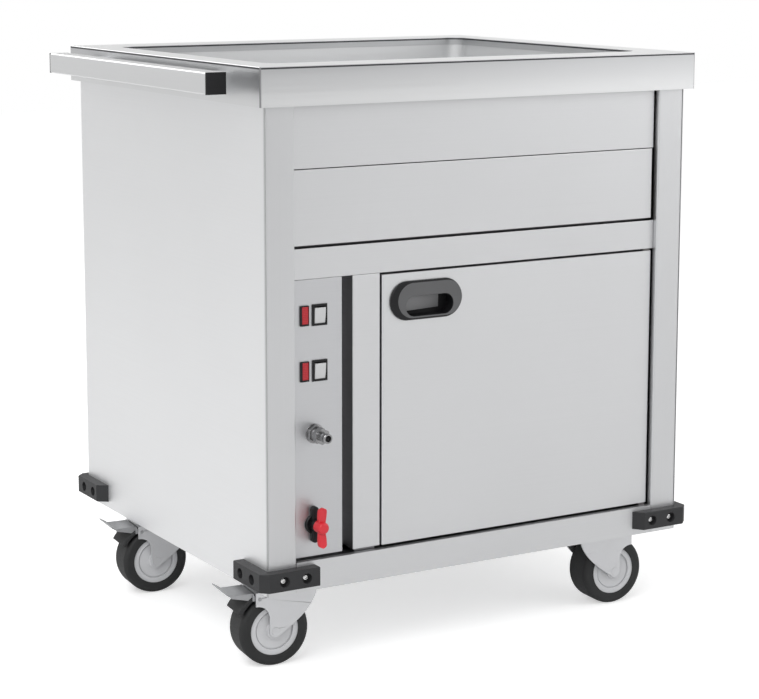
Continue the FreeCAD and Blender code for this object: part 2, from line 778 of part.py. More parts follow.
def save_pipework():
    y = front + drain_line
    save("drain_pipe", pipe([point(valve_x, y, well_floor_top - panel_sheet),
                             point(valve_x, y, valve_height),
                             point(valve_x, face + panel_sheet + seam, valve_height)]))
    save("overflow_pipe", pipe(overflow_points()))

    spigot = pipe_diameter - 2 * pipe_wall - 2 * seam
    start = point(coupling_x, face, coupling_height)
    pieces = [rod(spigot, start, Y, spigot_length)]
    stages = ((hex_prism, coupling_hex, coupling_nut),
              (rod, coupling_neck, coupling_neck_length),
              (hex_prism, coupling_cap_hex, coupling_cap),
              (rod, coupling_nozzle,
               coupling_reach - coupling_nut - coupling_neck_length - coupling_cap))
    y = face
    for make, size, length in stages:
        pieces.append(make(size, point(start.x, y, start.z), -Y, length))
        y -= length
    bore = rod(coupling_bore, point(start.x, y, start.z), Y, coupling_reach + spigot_length)
    save("overflow_coupling", join(pieces).cut(bore))

    start = point(valve_x, face, valve_height)
    neck_end = face - bonnet_depth - valve_neck_length
    valve = join([stadium_upright(bonnet_width, bonnet_height, start, bonnet_depth),
                  rod(valve_flange, start, -Y, valve_flange_depth),
                  rod(valve_neck, point(start.x, neck_end, start.z), Y, face - neck_end),
                  rod(spigot, start, Y, spigot_length)])
    socket_end = point(start.x, face - valve_flange_depth, start.z)
    save("drain_valve", valve.cut(rod(stem_diameter + 2 * stem_clearance, socket_end, -Y,
                                      lever_stand)))

    plane = face - lever_stand
    hub_front = plane - lever_thickness / 2 - lever_hub_proud
    pieces = [rod(lever_hub, point(start.x, hub_front, start.z), Y, neck_end - seam - hub_front),
              rod(stem_diameter, point(start.x, plane, start.z), Y,
                  lever_stand - valve_flange_depth - stem_end_gap)]
    y0 = plane - lever_thickness / 2
    for side in (-1, 1):
        tip = start.z + side * lever_span / 2
        outline = [point(start.x + x, y0, z)
                   for x, z in ((-lever_root / 2, start.z), (lever_root / 2, start.z),
                                (lever_tip / 2, tip), (-lever_tip / 2, tip))]
        wing = prism(outline, Y * lever_thickness)
        corners = [e for e in wing.Edges if abs(e.CenterOfMass.z - tip) < 0.01
                   and abs(e.tangentAt(e.FirstParameter).y) > 0.99]
        pieces.append(wing.makeFillet(lever_tip / 3, corners))
    save("drain_lever", join(pieces))


def stadium_upright(width, height, start, depth):
    """A slot-ended bar standing on the panel, its length upright."""
    half = (height - width) / 2
    parts = [block(start.x - width / 2, start.x + width / 2, start.y - depth, start.y,
                   start.z - half, start.z + half)]
    for side in (-1, 1):
        parts.append(rod(width, point(start.x, start.y - depth, start.z + side * half), Y, depth))
    return join(parts)


def liner_box():
    """Outside of the cupboard liner: x0, x1, y0, y1."""
    return (stile_right + liner_left, post_inner - liner_right, flange_front,
            back - panel_sheet - liner_back_gap)


def save_cupboard():
    x0, x1, y0, y1 = liner_box()
    t = liner_sheet
    shell = block(x0, x1, y0, y1, liner_floor, liner_ceiling)
    flange = block(stile_right - post_face / 2, post_inner - seam, y0, y0 + t, bottom_rail_top,
                   door_zone_top)
    inside = block(x0 + t, x1 - t, y0, y1 - t, liner_floor + t, liner_ceiling - t)
    parts = [shell.fuse(flange).cut(inside)]
    for xa, xb in ((x0 + t, x0 + t + shelf_ledge), (x1 - t - shelf_ledge, x1 - t)):
        parts.append(block(xa, xb, y0 + shelf_front, y1 - t, shelf_height - t, shelf_height))
    save("cupboard_liner", join(parts))

    front_y = y0 + shelf_front
    back_y = y1 - t - shelf_clearance
    edge = t + shelf_clearance
    plate = block(x0 + edge, x1 - edge, front_y, back_y, shelf_height, shelf_height + t)
    edge += shelf_ledge
    plate = plate.fuse(block(x0 + edge, x1 - edge, front_y, front_y + t,
                             shelf_height - shelf_lip, shelf_height + t))
    slots = []
    pitch_x = (x1 - x0) / (slot_columns + 1)
    pitch_y = (back_y - front_y) / slot_rows
    for column in range(slot_columns):
        x = x0 + (column + 1) * pitch_x
        for row in range(slot_rows):
            y = front_y + (row + 0.5) * pitch_y
            slots.append(rounded_block(x - slot_width / 2, x + slot_width / 2,
                                       y - slot_length / 2, y + slot_length / 2,
                                       shelf_height - t, shelf_height + 2 * t,
                                       0.98 * slot_width / 2))
    save("cupboard_shelf", plate.removeSplitter().cut(Part.makeCompound(slots)))

    floor = liner_floor + t
    z = floor + element_height
    mid = (x0 + x1) / 2
    points = []
    last_y = y1 - element_back
    for n in range(element_runs):
        y = last_y - (element_runs - 1 - n) * element_pitch
        side = -1 if n % 2 == 0 else 1
        points += [point(mid + side * element_length / 2, y, z),
                   point(mid - side * element_length / 2, y, z)]
    parts = [sweep(points, element_bend, heater_tube)]
    first_y = last_y - (element_runs - 1) * element_pitch
    for side in (-1, 1):
        x = mid + side * foot_pitch / 2
        parts.append(block(x - foot_width / 2, x + foot_width / 2, first_y - foot_width,
                           last_y + foot_width, floor, z))
    save("cupboard_heater", join(parts))


def save_door():
    outside = block(door_left, door_right, face, door_back, door_bottom, door_top)
    corner = [e for e in outside.Edges if e.BoundBox.YMax < face + 0.01
              and abs(e.tangentAt(e.FirstParameter).z) > 0.99]
    outside = outside.makeFillet(door_edge_radius, corner)
    t = panel_sheet
    hollow = block(door_left + t, door_right - t, face + door_edge_radius, door_back,
                   door_bottom + t, door_top - t)
    hollow = hollow.fuse(block(door_left + door_edge_radius, door_right - door_edge_radius,
                               face + t, door_back, door_bottom + t, door_top - t))
    shell = outside.cut(hollow)
    blocks = []
    for z0 in (door_bottom, door_top - hinge_block):
        blocks.append(block(door_right - 2 * hinge_inset, door_right - t, face + t,
                            face + 2 * hinge_inset, z0, z0 + hinge_block))
    shell = join([shell] + blocks)
    for z0 in (door_bottom, door_top - hinge_block):
        shell = shell.cut(rod(hinge_pin + 2 * hinge_clearance, point(hinge_x, hinge_y, z0 - 1),
                              Z, hinge_block + 2))
    grip, pocket = grip_centres()
    hole_width = grip_pocket_width + 2 * grip_wall + 2 * seam
    hole_height = grip_pocket_height + 2 * grip_wall + 2 * seam
    save("door_outer", shell.cut(stadium(hole_width, hole_height, pocket, t)))

    inner = block(door_left + t, door_right - t, door_back - t, door_back,
                  door_bottom + t, door_top - t)
    x0, x1 = door_left + dish_margin, door_right - dish_margin
    z0, z1 = door_bottom + dish_margin, door_top - dish_margin
    dish = block(x0, x1, door_back - dish_depth, door_back, z0, z1)
    dish = dish.cut(block(x0 + t, x1 - t, door_back - dish_depth + t, door_back, z0 + t, z1 - t))
    inner = inner.cut(block(x0 + t, x1 - t, door_back - t, door_back, z0 + t, z1 - t))
    save("door_inner", inner.fuse(dish).removeSplitter())

    x0, x1 = door_left + gasket_inset, door_right - gasket_inset
    z0, z1 = door_bottom + gasket_inset, door_top - gasket_inset
    w = gasket_width
    ring = block(x0, x1, door_back, flange_front - gasket_clearance, z0, z1)
    ring = ring.cut(block(x0 + w, x1 - w, door_back, flange_front, z0 + w, z1 - w))
    save("door_gasket", ring)

    plate = stadium(grip_width, grip_height, grip - Y * grip_proud, grip_proud)
    rim = [e for e in plate.Edges if e.BoundBox.YMax < face - grip_proud + 0.01]
    plate = plate.makeFillet(grip_proud * 0.6, rim)
    cup_depth = grip_pocket_depth - grip_proud + grip_wall
    cup = stadium(grip_pocket_width + 2 * grip_wall, grip_pocket_height + 2 * grip_wall,
                  pocket, cup_depth)
    hollow = stadium(grip_pocket_width, grip_pocket_height,
                     pocket - Y * grip_proud, grip_pocket_depth)
    save("door_grip", plate.fuse(cup).cut(hollow).removeSplitter())

    pins = []
    overlap = hinge_block - stem_end_gap
    for foot, head in ((bottom_rail_top, door_bottom), (door_zone_top, door_top)):
        into = 1 if head > foot else -1
        collar = rod(2 * hinge_inset, point(hinge_x, hinge_y, foot), Z * into,
                     abs(head - foot) - seam)
        pin = rod(hinge_pin, point(hinge_x, hinge_y, foot), Z * into,
                  abs(head - foot) + overlap)
        pins.append(pin.fuse(collar).removeSplitter())
    save("hinge_pins", *pins)

    z = (door_bottom + door_top) / 2
    y0 = flange_front + liner_sheet
    save("door_catch", block(stile_right + seam, liner_box()[0] - seam, y0, y0 + catch_depth,
                             z - catch_height / 2, z + catch_height / 2))


def grip_centres():
    """Centres of the door grip's plate and of its pocket, on the door's face."""
    plate = point(door_left + grip_from_latch, face, door_top - grip_from_top)
    return plate, plate + X * grip_pocket_right - Z * grip_pocket_down


def save_handle():
    half = handle_length / 2
    y0, y1 = -half + cap_lip, half - cap_lip
    tube = block(handle_outer, handle_inner, y0, y1, handle_bottom, handle_top)
    long_edges = [e for e in tube.Edges if abs(e.Length - (y1 - y0)) < 1e-6]
    tube = tube.makeFillet(handle_edge, long_edges)
    t = handle_wall
    tube = tube.cut(block(handle_outer + t, handle_inner - t, y0, y1, handle_bottom + t,
                          handle_top - t))
    save("handle_tube", tube)

    caps = []
    for side in (-1, 1):
        a, b = sorted((side * half, side * (half - cap_lip)))
        head = block(handle_outer, handle_inner, a, b, handle_bottom, handle_top)
        outer_edges = [e for e in head.Edges if abs(e.CenterOfMass.y - side * half) < 0.01]
        head = head.makeFillet(cap_edge, outer_edges)
        c, d = sorted((side * (half - cap_lip), side * (half - cap_lip - cap_plug)))
        g = t + seam
        plug = block(handle_outer + g, handle_inner - g, c, d, handle_bottom + g, handle_top - g)
        caps.append(head.fuse(plug).removeSplitter())
    save("handle_end_caps", *caps)

    brackets = []
    wall = -top_width / 2
    for side in (-1, 1):
        a, b = sorted((side * (half - bracket_from_end),
                       side * (half - bracket_from_end - bracket_length)))
        top = handle_top - bracket_top_drop
        bottom = handle_bottom - bracket_foot_drop
        s = bracket_sheet
        under = prism([point(wall, a, handle_bottom), point(wall, a, bottom),
                       point(handle_inner, a, bottom),
                       point(handle_outer + bracket_toe, a, handle_bottom)], Y * (b - a))
        arm = block(handle_inner, wall, a, b, handle_bottom, top)
        arm = arm.cut(block(handle_inner + s, wall - s, a + s, b - s, handle_bottom, top - s))
        brackets.append(arm.fuse(under).removeSplitter())
    save("handle_brackets", *brackets)


def bumper(sx, sy, taper):
    """An L-shaped corner bumper on side sx and end sy, with its screws."""
    t = bumper_thickness
    c = bumper_chamfer

    def at(along_x, along_y):
        """A point measured inwards from the outer corner."""
        return point(sx * (right + t - along_x), sy * (back + t - along_y), bumper_bottom)

    short = bumper_arm - taper
    long = bumper_arm + taper
    solid = prism([at(c, 0), at(short, 0), at(long, t), at(t, t), at(t, long), at(0, short),
                   at(0, c)], Z * bumper_height)
    outer = []
    for edge in solid.Edges:
        middle = edge.CenterOfMass
        level = abs(edge.tangentAt(edge.FirstParameter).z) < 0.01
        if level and (abs(middle.x) > right + 0.1 and abs(middle.y) > back + 0.1
                      or abs(middle.x) > right + t - 0.01 or abs(middle.y) > back + t - 0.01):
            outer.append(edge)
    solid = solid.makeFillet(bumper_edge, outer)
    screws = []
    for spot, inward in bumper_screw_spots(sx, sy):
        solid = solid.cut(rod(bumper_well, spot, inward, bumper_well_depth))
        solid = solid.cut(rod(screw_shank + 2 * seam, spot, inward, 2 * t))
        seat = spot + inward * (bumper_well_depth - screw_head_height)
        head = rod(screw_head, seat, inward, screw_head_height)
        rim = [e for e in head.Edges if abs((e.CenterOfMass - seat).dot(inward)) < 0.01]
        head = head.makeChamfer(screw_head_edge, rim)
        shank = rod(screw_shank, seat, inward, screw_length)
        recess = rod(screw_recess, seat, inward, screw_recess_depth)
        screws.append(head.fuse(shank).cut(recess).removeSplitter())
    return solid, screws


def save_bumpers():
    solids = []
    screws = []
    for sx, sy, taper in bumper_corners():
        solid, own = bumper(sx, sy, taper)
        solids.append(solid)
        screws += own
    save("corner_bumpers", *solids)
    save("bumper_screws", *screws)


def local(shape, castor):
    """Turns and moves a castor piece from its own frame, swivel axis at x = y = 0."""
    x, y, turn, _ = castor
    placed = shape.copy()
    placed.rotate(point(0, 0, 0), Z, turn)
    placed.translate(point(x, y, 0))
    return placed


def revolved(outline):
    """Turns an outline of (radius, across) pairs round the wheel axis."""
    points = [point(-castor_trail, across, wheel_radius + radius) for radius, across in outline]
    wire = Part.makePolygon(points + [points[0]])
    return Part.Face(wire).revolve(point(-castor_trail, 0, wheel_radius), Y, 360)


def tyre():
    """The tyre's section: flat sides, round shoulders and a narrow flat tread."""
    r = wheel_radius
    w = tyre_width / 2
    s = tyre_shoulder
    rim = rim_radius
    x = -castor_trail
    bulge = s * (1 - math.sqrt(0.5))

    def at(radius, across):
        return point(x, across, wheel_radius + radius)

    edges = [Part.makeLine(at(r - s, -w), at(rim, -w)), Part.makeLine(at(rim, -w), at(rim, w)),
             Part.makeLine(at(rim, w), at(r - s, w)),
             Part.Arc(at(r - s, w), at(r - bulge, w - bulge), at(r, w - s)).toShape(),
             Part.makeLine(at(r, w - s), at(r, s - w)),
             Part.Arc(at(r, s - w), at(r - bulge, bulge - w), at(r - s, -w)).toShape()]
    section = Part.Face(Part.Wire(Part.__sortEdges__(edges)))
    return section.revolve(point(x, 0, wheel_radius), Y, 360)


def hub():
    """The hub's section: a boss, a recessed disc, a groove and a raised outer ring."""
    w = rim_width / 2
    boss = fork_inside / 2 - seam
    bore = axle_diameter / 2 + axle_clearance
    groove = rim_radius - rim_ring
    disc = w - disc_recess
    low = w - rim_groove_depth
    b = hub_boss_diameter / 2
    side = [(b, boss), (b, disc), (groove - rim_groove, disc), (groove - rim_groove, low),
            (groove, low), (groove, w), (rim_radius, w)]
    outline = [(bore, boss)] + side + [(a, -c) for a, c in side[::-1]] + [(bore, -boss)]
    return revolved(outline)


def smooth_edge(pairs, y):
    """A smooth edge through (x, z) pairs in the plane of one fork leg."""
    curve = Part.BSplineCurve()
    curve.interpolate([point(x, y, z) for x, z in pairs])
    return curve.toShape()


def fork_leg(y):
    """The side of a fork leg: a nose shelf, a concave front, a round tip and a raked back."""
    r = fork_tip_radius
    x = -castor_trail
    z = wheel_radius
    slope = math.sqrt(0.5)
    nose = (-fork_nose, z + fork_shelf)
    waist = (x - r, z + fork_waist)
    tip_front = (x - r, z)
    tip_low = (x - slope * r, z - slope * r)
    tip_back = (x + slope * r, z - slope * r)
    belly = (x + fork_belly_x, z + fork_belly_z)
    hip = (fork_tail - fork_tail_run, z + fork_hip)
    heel = (fork_tail, fork_crown_top - fork_heel_drop)
    front_curve = [nose, ((nose[0] + 2 * waist[0]) / 3, nose[1] - fork_shelf_fall), waist]
    corners = [point(*pair) for pair in ((heel[0], y, heel[1]),
                                         (fork_tail, y, fork_crown_top),
                                         (-fork_nose, y, fork_crown_top),
                                         (nose[0], y, nose[1]))]
    edges = [Part.makeLine(a, b) for a, b in zip(corners, corners[1:])]
    edges.append(smooth_edge(front_curve, y))
    edges.append(Part.makeLine(point(waist[0], y, waist[1]), point(x - r, y, z)))
    edges.append(Part.Arc(point(tip_front[0], y, tip_front[1]), point(tip_low[0], y, tip_low[1]),
                          point(x, y, z - r)).toShape())
    edges.append(Part.Arc(point(x, y, z - r), point(x + r * math.sin(math.pi / 8), y,
                                                    z - r * math.cos(math.pi / 8)),
                          point(tip_back[0], y, tip_back[1])).toShape())
    edges.append(smooth_edge([tip_back, belly, hip, heel], y))
    return Part.Face(Part.Wire(Part.__sortEdges__(edges)))


def fork(with_pedal):
    t = fork_sheet
    inside = fork_inside / 2
    parts = [fork_leg(y).extrude(Y * t) for y in (-inside - t, inside)]
    parts.append(block(-fork_nose, fork_tail, -inside - t, inside + t, fork_crown_bottom,
                       fork_crown_top))
    parts.append(rod(race_diameter, point(0, 0, fork_crown_top), Z, race_height - swivel_gap))
    body = join(parts)
    body = body.cut(rod(king_pin + 2 * king_pin_clearance, point(0, 0, fork_crown_bottom - 1), Z,
                        race_height + t + 2))
    body = body.cut(rod(axle_diameter, point(-castor_trail, -inside - 2 * t, wheel_radius), Y,
                        2 * inside + 4 * t))
    if with_pedal:
        hole = point(-pedal_pivot_ahead, -inside - 2 * t, pedal_pivot_height)
        body = body.cut(rod(pedal_pin + 2 * pedal_pin_clearance, hole, Y, 2 * inside + 4 * t))
    return body


def axle():
    half = fork_inside / 2 + fork_sheet
    return rod(axle_diameter, point(-castor_trail, -half, wheel_radius), Y, 2 * half)


def castor_plate(x, y):
    """The top plate with its ball race, king pin and the pin's riveted head."""
    half_x = castor_plate_length / 2
    half_y = castor_plate_width / 2
    plate = rounded_block(x - half_x, x + half_x, y - half_y, y + half_y, castor_plate_bottom,
                          base_underside, castor_plate_corner)
    race = rod(race_diameter + 2 * castor_plate_sheet, point(x, y, race_top), Z,
               castor_plate_bottom - race_top)
    head_top = fork_crown_bottom - swivel_gap
    pin = rod(king_pin, point(x, y, head_top), Z, race_top - head_top)
    head = rod(king_pin_head, point(x, y, head_top), -Z, king_pin_head_height)
    holes = [rod(castor_bolt + 2 * seam, point(bx, by, castor_plate_bottom), Z,
                 castor_plate_sheet) for bx, by in castor_bolt_spots()]
    return join([plate, race, pin, head]).cut(Part.makeCompound(holes))


def castor_bolt_at(x, y):
    head = hex_prism(castor_bolt_head, point(x, y, castor_plate_bottom), -Z,
                     castor_bolt_head_height)
    length = castor_plate_sheet + frame_sheet + weld_nut_height + castor_bolt_end
    return head.fuse(rod(castor_bolt, point(x, y, castor_plate_bottom), Z, length))


def pedal():
    """A pressed brake pedal: a channel with a toe, its pivot pin and the shoe over the tread."""
    half = pedal_width / 2
    inner = pedal_inner_width / 2
    s = pedal_sheet
    toe = pedal_toe - pedal_reach
    start = -fork_nose - pedal_fork_gap
    low = pedal_top - pedal_flange
    lip = pedal_lip_width / 2
    ramp = [point(toe, -lip, pedal_top - s), point(toe, -lip, pedal_top),
            point(-pedal_reach, -lip, pedal_top + pedal_toe_rise),
            point(-pedal_reach, -lip, pedal_top + pedal_toe_rise - s)]
    parts = [block(toe, start, -half, half, pedal_top - s, pedal_top),
             prism(ramp, Y * pedal_lip_width),
             block(start - s, start, -inner, inner, low, pedal_top)]
    inner_end = pedal_pin - pedal_pivot_ahead
    cheek_top = pedal_pivot_height + pedal_pin
    for y0 in (-half, half - s):
        outline = [(toe, pedal_top - s), (toe, pedal_top - 2 * s), (start - s, low),
                   (start - s, pedal_top - s)]
        parts.append(prism([point(x, y0, z) for x, z in outline], Y * s))
    for y0 in (-inner, inner - s):
        parts.append(block(start - s, inner_end, y0, y0 + s, low, cheek_top))
    reach = fork_inside / 2 + fork_sheet
    parts.append(rod(pedal_pin, point(-pedal_pivot_ahead, -reach, pedal_pivot_height), Y,
                     2 * reach))
    parts.append(brake_shoe())
    return join(parts)


def brake_shoe():
    """A curved shoe that follows the tread."""
    inner = wheel_radius + shoe_gap
    outer = inner + shoe_thickness
    centre = point(-castor_trail, -shoe_width / 2, wheel_radius)
    ring = Part.makeCylinder(outer, shoe_width, centre, Y)
    ring = ring.cut(Part.makeCylinder(inner, shoe_width, centre, Y))
    sector = [centre]
    for angle in (shoe_start, shoe_end):
        turn = math.radians(angle)
        sector.append(centre + X * (2 * outer * math.cos(turn)) + Z * (2 * outer * math.sin(turn)))
    return ring.common(prism(sector, Y * shoe_width))


def save_castors():
    for name, castor in castors.items():
        save("castor_fork_" + name, local(fork(castor[3]), castor))
        save("castor_axle_" + name, local(axle(), castor))
        save("castor_tyre_" + name, local(tyre(), castor))
        save("castor_hub_" + name, local(hub(), castor))
        if castor[3]:
            save("brake_pedal_" + name, local(pedal(), castor))
    save("castor_plates", *[castor_plate(x, y) for x, y, _, _ in castors.values()])
    save("castor_bolts", *[castor_bolt_at(x, y) for x, y in castor_bolt_spots()])


def save_gland():
    start = point(left + gland_from_left, back, gland_height)
    dome_length = gland_reach - gland_hex_height
    dome = rod(gland_dome, start + Y * gland_hex_height, Y, dome_length)
    rim = [e for e in dome.Edges if abs(e.CenterOfMass.y - (back + gland_reach)) < 0.01]
    thread = rod(gland_thread, start - Y * (panel_sheet + gland_thread_length), Y,
                 panel_sheet + gland_thread_length)
    gland = join([hex_prism(gland_hex, start, Y, gland_hex_height),
                  dome.makeFillet(dome_length / 3, rim), thread])
    bore = rod(gland_bore, start - Y * 2 * gland_thread_length, Y, 3 * gland_reach)
    save("cable_gland", gland.cut(bore))


def main():
    os.makedirs("parts", exist_ok=True)
    save_worktop()
    save_well()
    save_frame()
    save_front()
    save_pipework()
    save_cupboard()
    save_door()
    save_handle()
    save_bumpers()
    save_castors()
    save_gland()


main()
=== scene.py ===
import bpy
import bmesh
import json
import math
from mathutils import Matrix, Vector


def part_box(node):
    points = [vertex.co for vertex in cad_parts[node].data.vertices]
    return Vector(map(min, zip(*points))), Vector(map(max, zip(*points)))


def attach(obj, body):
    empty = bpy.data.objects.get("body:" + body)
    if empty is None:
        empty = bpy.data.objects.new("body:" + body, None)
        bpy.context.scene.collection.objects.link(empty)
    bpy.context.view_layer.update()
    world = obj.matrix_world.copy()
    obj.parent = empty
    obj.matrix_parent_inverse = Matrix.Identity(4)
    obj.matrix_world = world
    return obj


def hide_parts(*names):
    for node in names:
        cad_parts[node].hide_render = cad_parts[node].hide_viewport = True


# sizes in metres, angles in degrees; the front faces -Y and the push handle is on the left, at -X
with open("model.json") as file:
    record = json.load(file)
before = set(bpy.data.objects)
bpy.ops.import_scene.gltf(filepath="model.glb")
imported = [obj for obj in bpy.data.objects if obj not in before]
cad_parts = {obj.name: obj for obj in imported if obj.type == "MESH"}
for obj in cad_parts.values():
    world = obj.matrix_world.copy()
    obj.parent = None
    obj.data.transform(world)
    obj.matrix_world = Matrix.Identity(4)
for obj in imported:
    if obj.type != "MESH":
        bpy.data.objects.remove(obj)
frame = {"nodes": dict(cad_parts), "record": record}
nodes = frame["nodes"]
joints = {joint["name"]: joint for joint in frame["record"]["behaviour"]["joints"]}
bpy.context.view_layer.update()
print("loaded", len(nodes), "CAD nodes")


def jointPlace(name):
    return Vector(joints[name]["pos_m"])


# camera, lights and floor

cameraSetup = {
    "place": (-1.6568, -2.8640, 1.0237), "yaw": 30.19, "pitch": 8.93,
    "sensor": 36, "focalPixels": 2159.5, "pictureWidth": 759,  # focal length in picture pixels
    "shiftX": 0.017, "shiftY": -0.10, "clipEnd": 60,
}


def addCamera():
    look = cameraSetup
    data = bpy.data.cameras.new("camera")
    data.sensor_width = look["sensor"]
    data.lens = look["sensor"] * look["focalPixels"] / look["pictureWidth"]
    data.shift_x = look["shiftX"]
    data.shift_y = look["shiftY"]
    data.clip_end = look["clipEnd"]
    camera = bpy.data.objects.new("camera", data)
    camera.location = look["place"]
    camera.rotation_euler = (math.radians(90 - look["pitch"]), 0, math.radians(-look["yaw"]))
    bpy.context.collection.objects.link(camera)
    bpy.context.scene.camera = camera
    bpy.context.scene.view_settings.view_transform = "Standard"


lightSetup = {
    "keyLight": {"place": (-2.6, -2.2, 3.2), "aim": (0, 0, 0.4), "size": 2.2, "watts": 70},
    "fillLight": {"place": (3.0, -2.6, 2.0), "aim": (0, 0, 0.5), "size": 2.4, "watts": 30},
    "backLight": {"place": (-0.5, 3.0, 2.8), "aim": (0, 0, 0.6), "size": 2.4, "watts": 40},
}


def addLights():
    for name, look in lightSetup.items():
        data = bpy.data.lights.new(name, "AREA")
        data.shape = "SQUARE"
        data.size = look["size"]
        data.energy = look["watts"]
        light = bpy.data.objects.new(name, data)
        light.location = look["place"]
        direction = Vector(look["aim"]) - Vector(look["place"])
        light.rotation_euler = direction.to_track_quat("-Z", "Y").to_euler()
        bpy.context.collection.objects.link(light)


def addNode(tree, kind, inputs=None, **settings):
    node = tree.nodes.new(kind)
    for key, value in settings.items():
        setattr(node, key, value)
    for key, value in (inputs or {}).items():
        node.inputs[key].default_value = value
    return node


def mathNode(tree, operation, *values):
    # a Math node fed with sockets or plain numbers
    node = addNode(tree, "ShaderNodeMath", operation=operation)
    for value, socket in zip(values, node.inputs):
        if isinstance(value, bpy.types.NodeSocket):
            tree.links.new(value, socket)
        else:
            socket.default_value = value
    return node.outputs[0]


def mixShaders(tree, share, first, second):
    node = addNode(tree, "ShaderNodeMixShader")
    for source, socket in zip((share, first, second), node.inputs):
        tree.links.new(source, socket)
    return node.outputs[0]


worldSetup = {
    "softLevel": 0.62,  # the light that dull surfaces get
    # what polished metal mirrors: (part of the direction, brightness) stops
    "heights": ((-0.4, 0.77), (0.0, 0.82), (0.32, 0.90), (1.0, 0.74)),
    "sides": ((-0.16, 0.98), (0.08, 0.22), (0.30, 0.54), (0.55, 1.0), (0.80, 0.98)),
}


def dimmer(tree, source, stops):
    # brightness by one part of a direction, from -1 to 1
    place = addNode(tree, "ShaderNodeMapRange", {"From Min": -1.0, "From Max": 1.0})
    tree.links.new(source, place.inputs["Value"])
    ramp = addNode(tree, "ShaderNodeValToRGB")
    steps = ramp.color_ramp.elements
    while len(steps) < len(stops):
        steps.new(0.5)
    for step, (part, level) in zip(steps, stops):
        step.position = (part + 1) / 2
        step.color = (level, level, level, 1)
    tree.links.new(place.outputs[0], ramp.inputs[0])
    return ramp.outputs["Color"]


def addWorld():
    world = bpy.data.worlds.new("studio")
    world.use_nodes = True
    bpy.context.scene.world = world
    tree = world.node_tree
    tree.nodes.clear()
    coords = addNode(tree, "ShaderNodeTexCoord")
    split = addNode(tree, "ShaderNodeSeparateXYZ")
    tree.links.new(coords.outputs["Generated"], split.inputs[0])
    # bright to both sides, dark in a band straight ahead and behind, duller overhead
    shade = addNode(tree, "ShaderNodeVectorMath", operation="MULTIPLY")
    tree.links.new(dimmer(tree, split.outputs["Z"], worldSetup["heights"]), shade.inputs[0])
    tree.links.new(dimmer(tree, split.outputs["X"], worldSetup["sides"]), shade.inputs[1])
    white, soft = (1, 1, 1, 1), worldSetup["softLevel"]
    seen = addNode(tree, "ShaderNodeBackground", {"Color": white, "Strength": 1.0})
    dull = addNode(tree, "ShaderNodeBackground", {"Color": white, "Strength": soft})
    glossy = addNode(tree, "ShaderNodeBackground", {"Strength": 1.0})
    tree.links.new(shade.outputs[0], glossy.inputs["Color"])
    path = addNode(tree, "ShaderNodeLightPath")
    light = mixShaders(tree, path.outputs["Is Glossy Ray"], dull.outputs[0], glossy.outputs[0])
    light = mixShaders(tree, path.outputs["Is Camera Ray"], light, seen.outputs[0])
    out = addNode(tree, "ShaderNodeOutputWorld")
    tree.links.new(light, out.inputs["Surface"])


def startMaterial(name, look, metallic=0.0):
    material = bpy.data.materials.new(name)
    material.use_nodes = True
    tree = material.node_tree
    shader = tree.nodes["Principled BSDF"]
    shader.inputs["Base Color"].default_value = (*look["colour"], 1)
    shader.inputs["Roughness"].default_value = look["roughness"]
    shader.inputs["Metallic"].default_value = metallic
    return material, tree, shader


floorSetup = {
    "halfSize": 9.0, "colour": (0.8, 0.8, 0.8), "roughness": 0.9, "specular": 0.1,
    "lift": 0.50,  # glow that lifts the paper to white
    "mirrorShare": 0.2,  # how much of that glow metal mirrors
}


def addFloor():
    look = floorSetup
    bm = bmesh.new()
    bmesh.ops.create_grid(bm, x_segments=1, y_segments=1, size=look["halfSize"])
    mesh = bpy.data.meshes.new("floor")
    bm.to_mesh(mesh)
    bm.free()
    floor = bpy.data.objects.new("floor", mesh)
    bpy.context.collection.objects.link(floor)
    material, tree, shader = startMaterial("floorPaper", look)
    shader.inputs["Specular IOR Level"].default_value = look["specular"]
    # the camera and what metal mirrors see the paper lifted, with the shadow kept
    path = addNode(tree, "ShaderNodeLightPath")
    mirrored = mathNode(tree, "MAXIMUM", path.outputs["Is Glossy Ray"],
                        path.outputs["Is Transmission Ray"])
    wanted = mathNode(tree, "MULTIPLY_ADD", mirrored, look["mirrorShare"],
                      path.outputs["Is Camera Ray"])
    glow = addNode(tree, "ShaderNodeEmission", {"Strength": look["lift"]})
    dark = addNode(tree, "ShaderNodeEmission", {"Strength": 0.0})
    both = addNode(tree, "ShaderNodeAddShader")
    tree.links.new(shader.outputs[0], both.inputs[0])
    tree.links.new(mixShaders(tree, wanted, dark.outputs[0], glow.outputs[0]), both.inputs[1])
    tree.links.new(both.outputs[0], tree.nodes["Material Output"].inputs["Surface"])
    mesh.materials.append(material)


# patterns for the materials

def objectPlace(tree):
    return addNode(tree, "ShaderNodeTexCoord").outputs["Object"]


def splitPlace(tree, place):
    parts = addNode(tree, "ShaderNodeSeparateXYZ")
    tree.links.new(place, parts.inputs[0])
    return parts.outputs


def spread(tree, source, low, high, fromLow=0.3, fromHigh=0.7):
    # turns a pattern, or a place along an axis, into a range of values
    node = addNode(tree, "ShaderNodeMapRange", {"From Min": fromLow, "From Max": fromHigh,
                                                "To Min": low, "To Max": high})
    tree.links.new(source, node.inputs["Value"])
    return node.outputs[0]


def pattern(tree, place, scale, size=1.0, detail=3.0, distortion=0.0):
    mapping = addNode(tree, "ShaderNodeMapping", {"Scale": scale})
    noise = addNode(tree, "ShaderNodeTexNoise",
                    {"Scale": size, "Detail": detail, "Distortion": distortion})
    tree.links.new(place, mapping.inputs["Vector"])
    tree.links.new(mapping.outputs[0], noise.inputs["Vector"])
    return noise.outputs["Fac"]


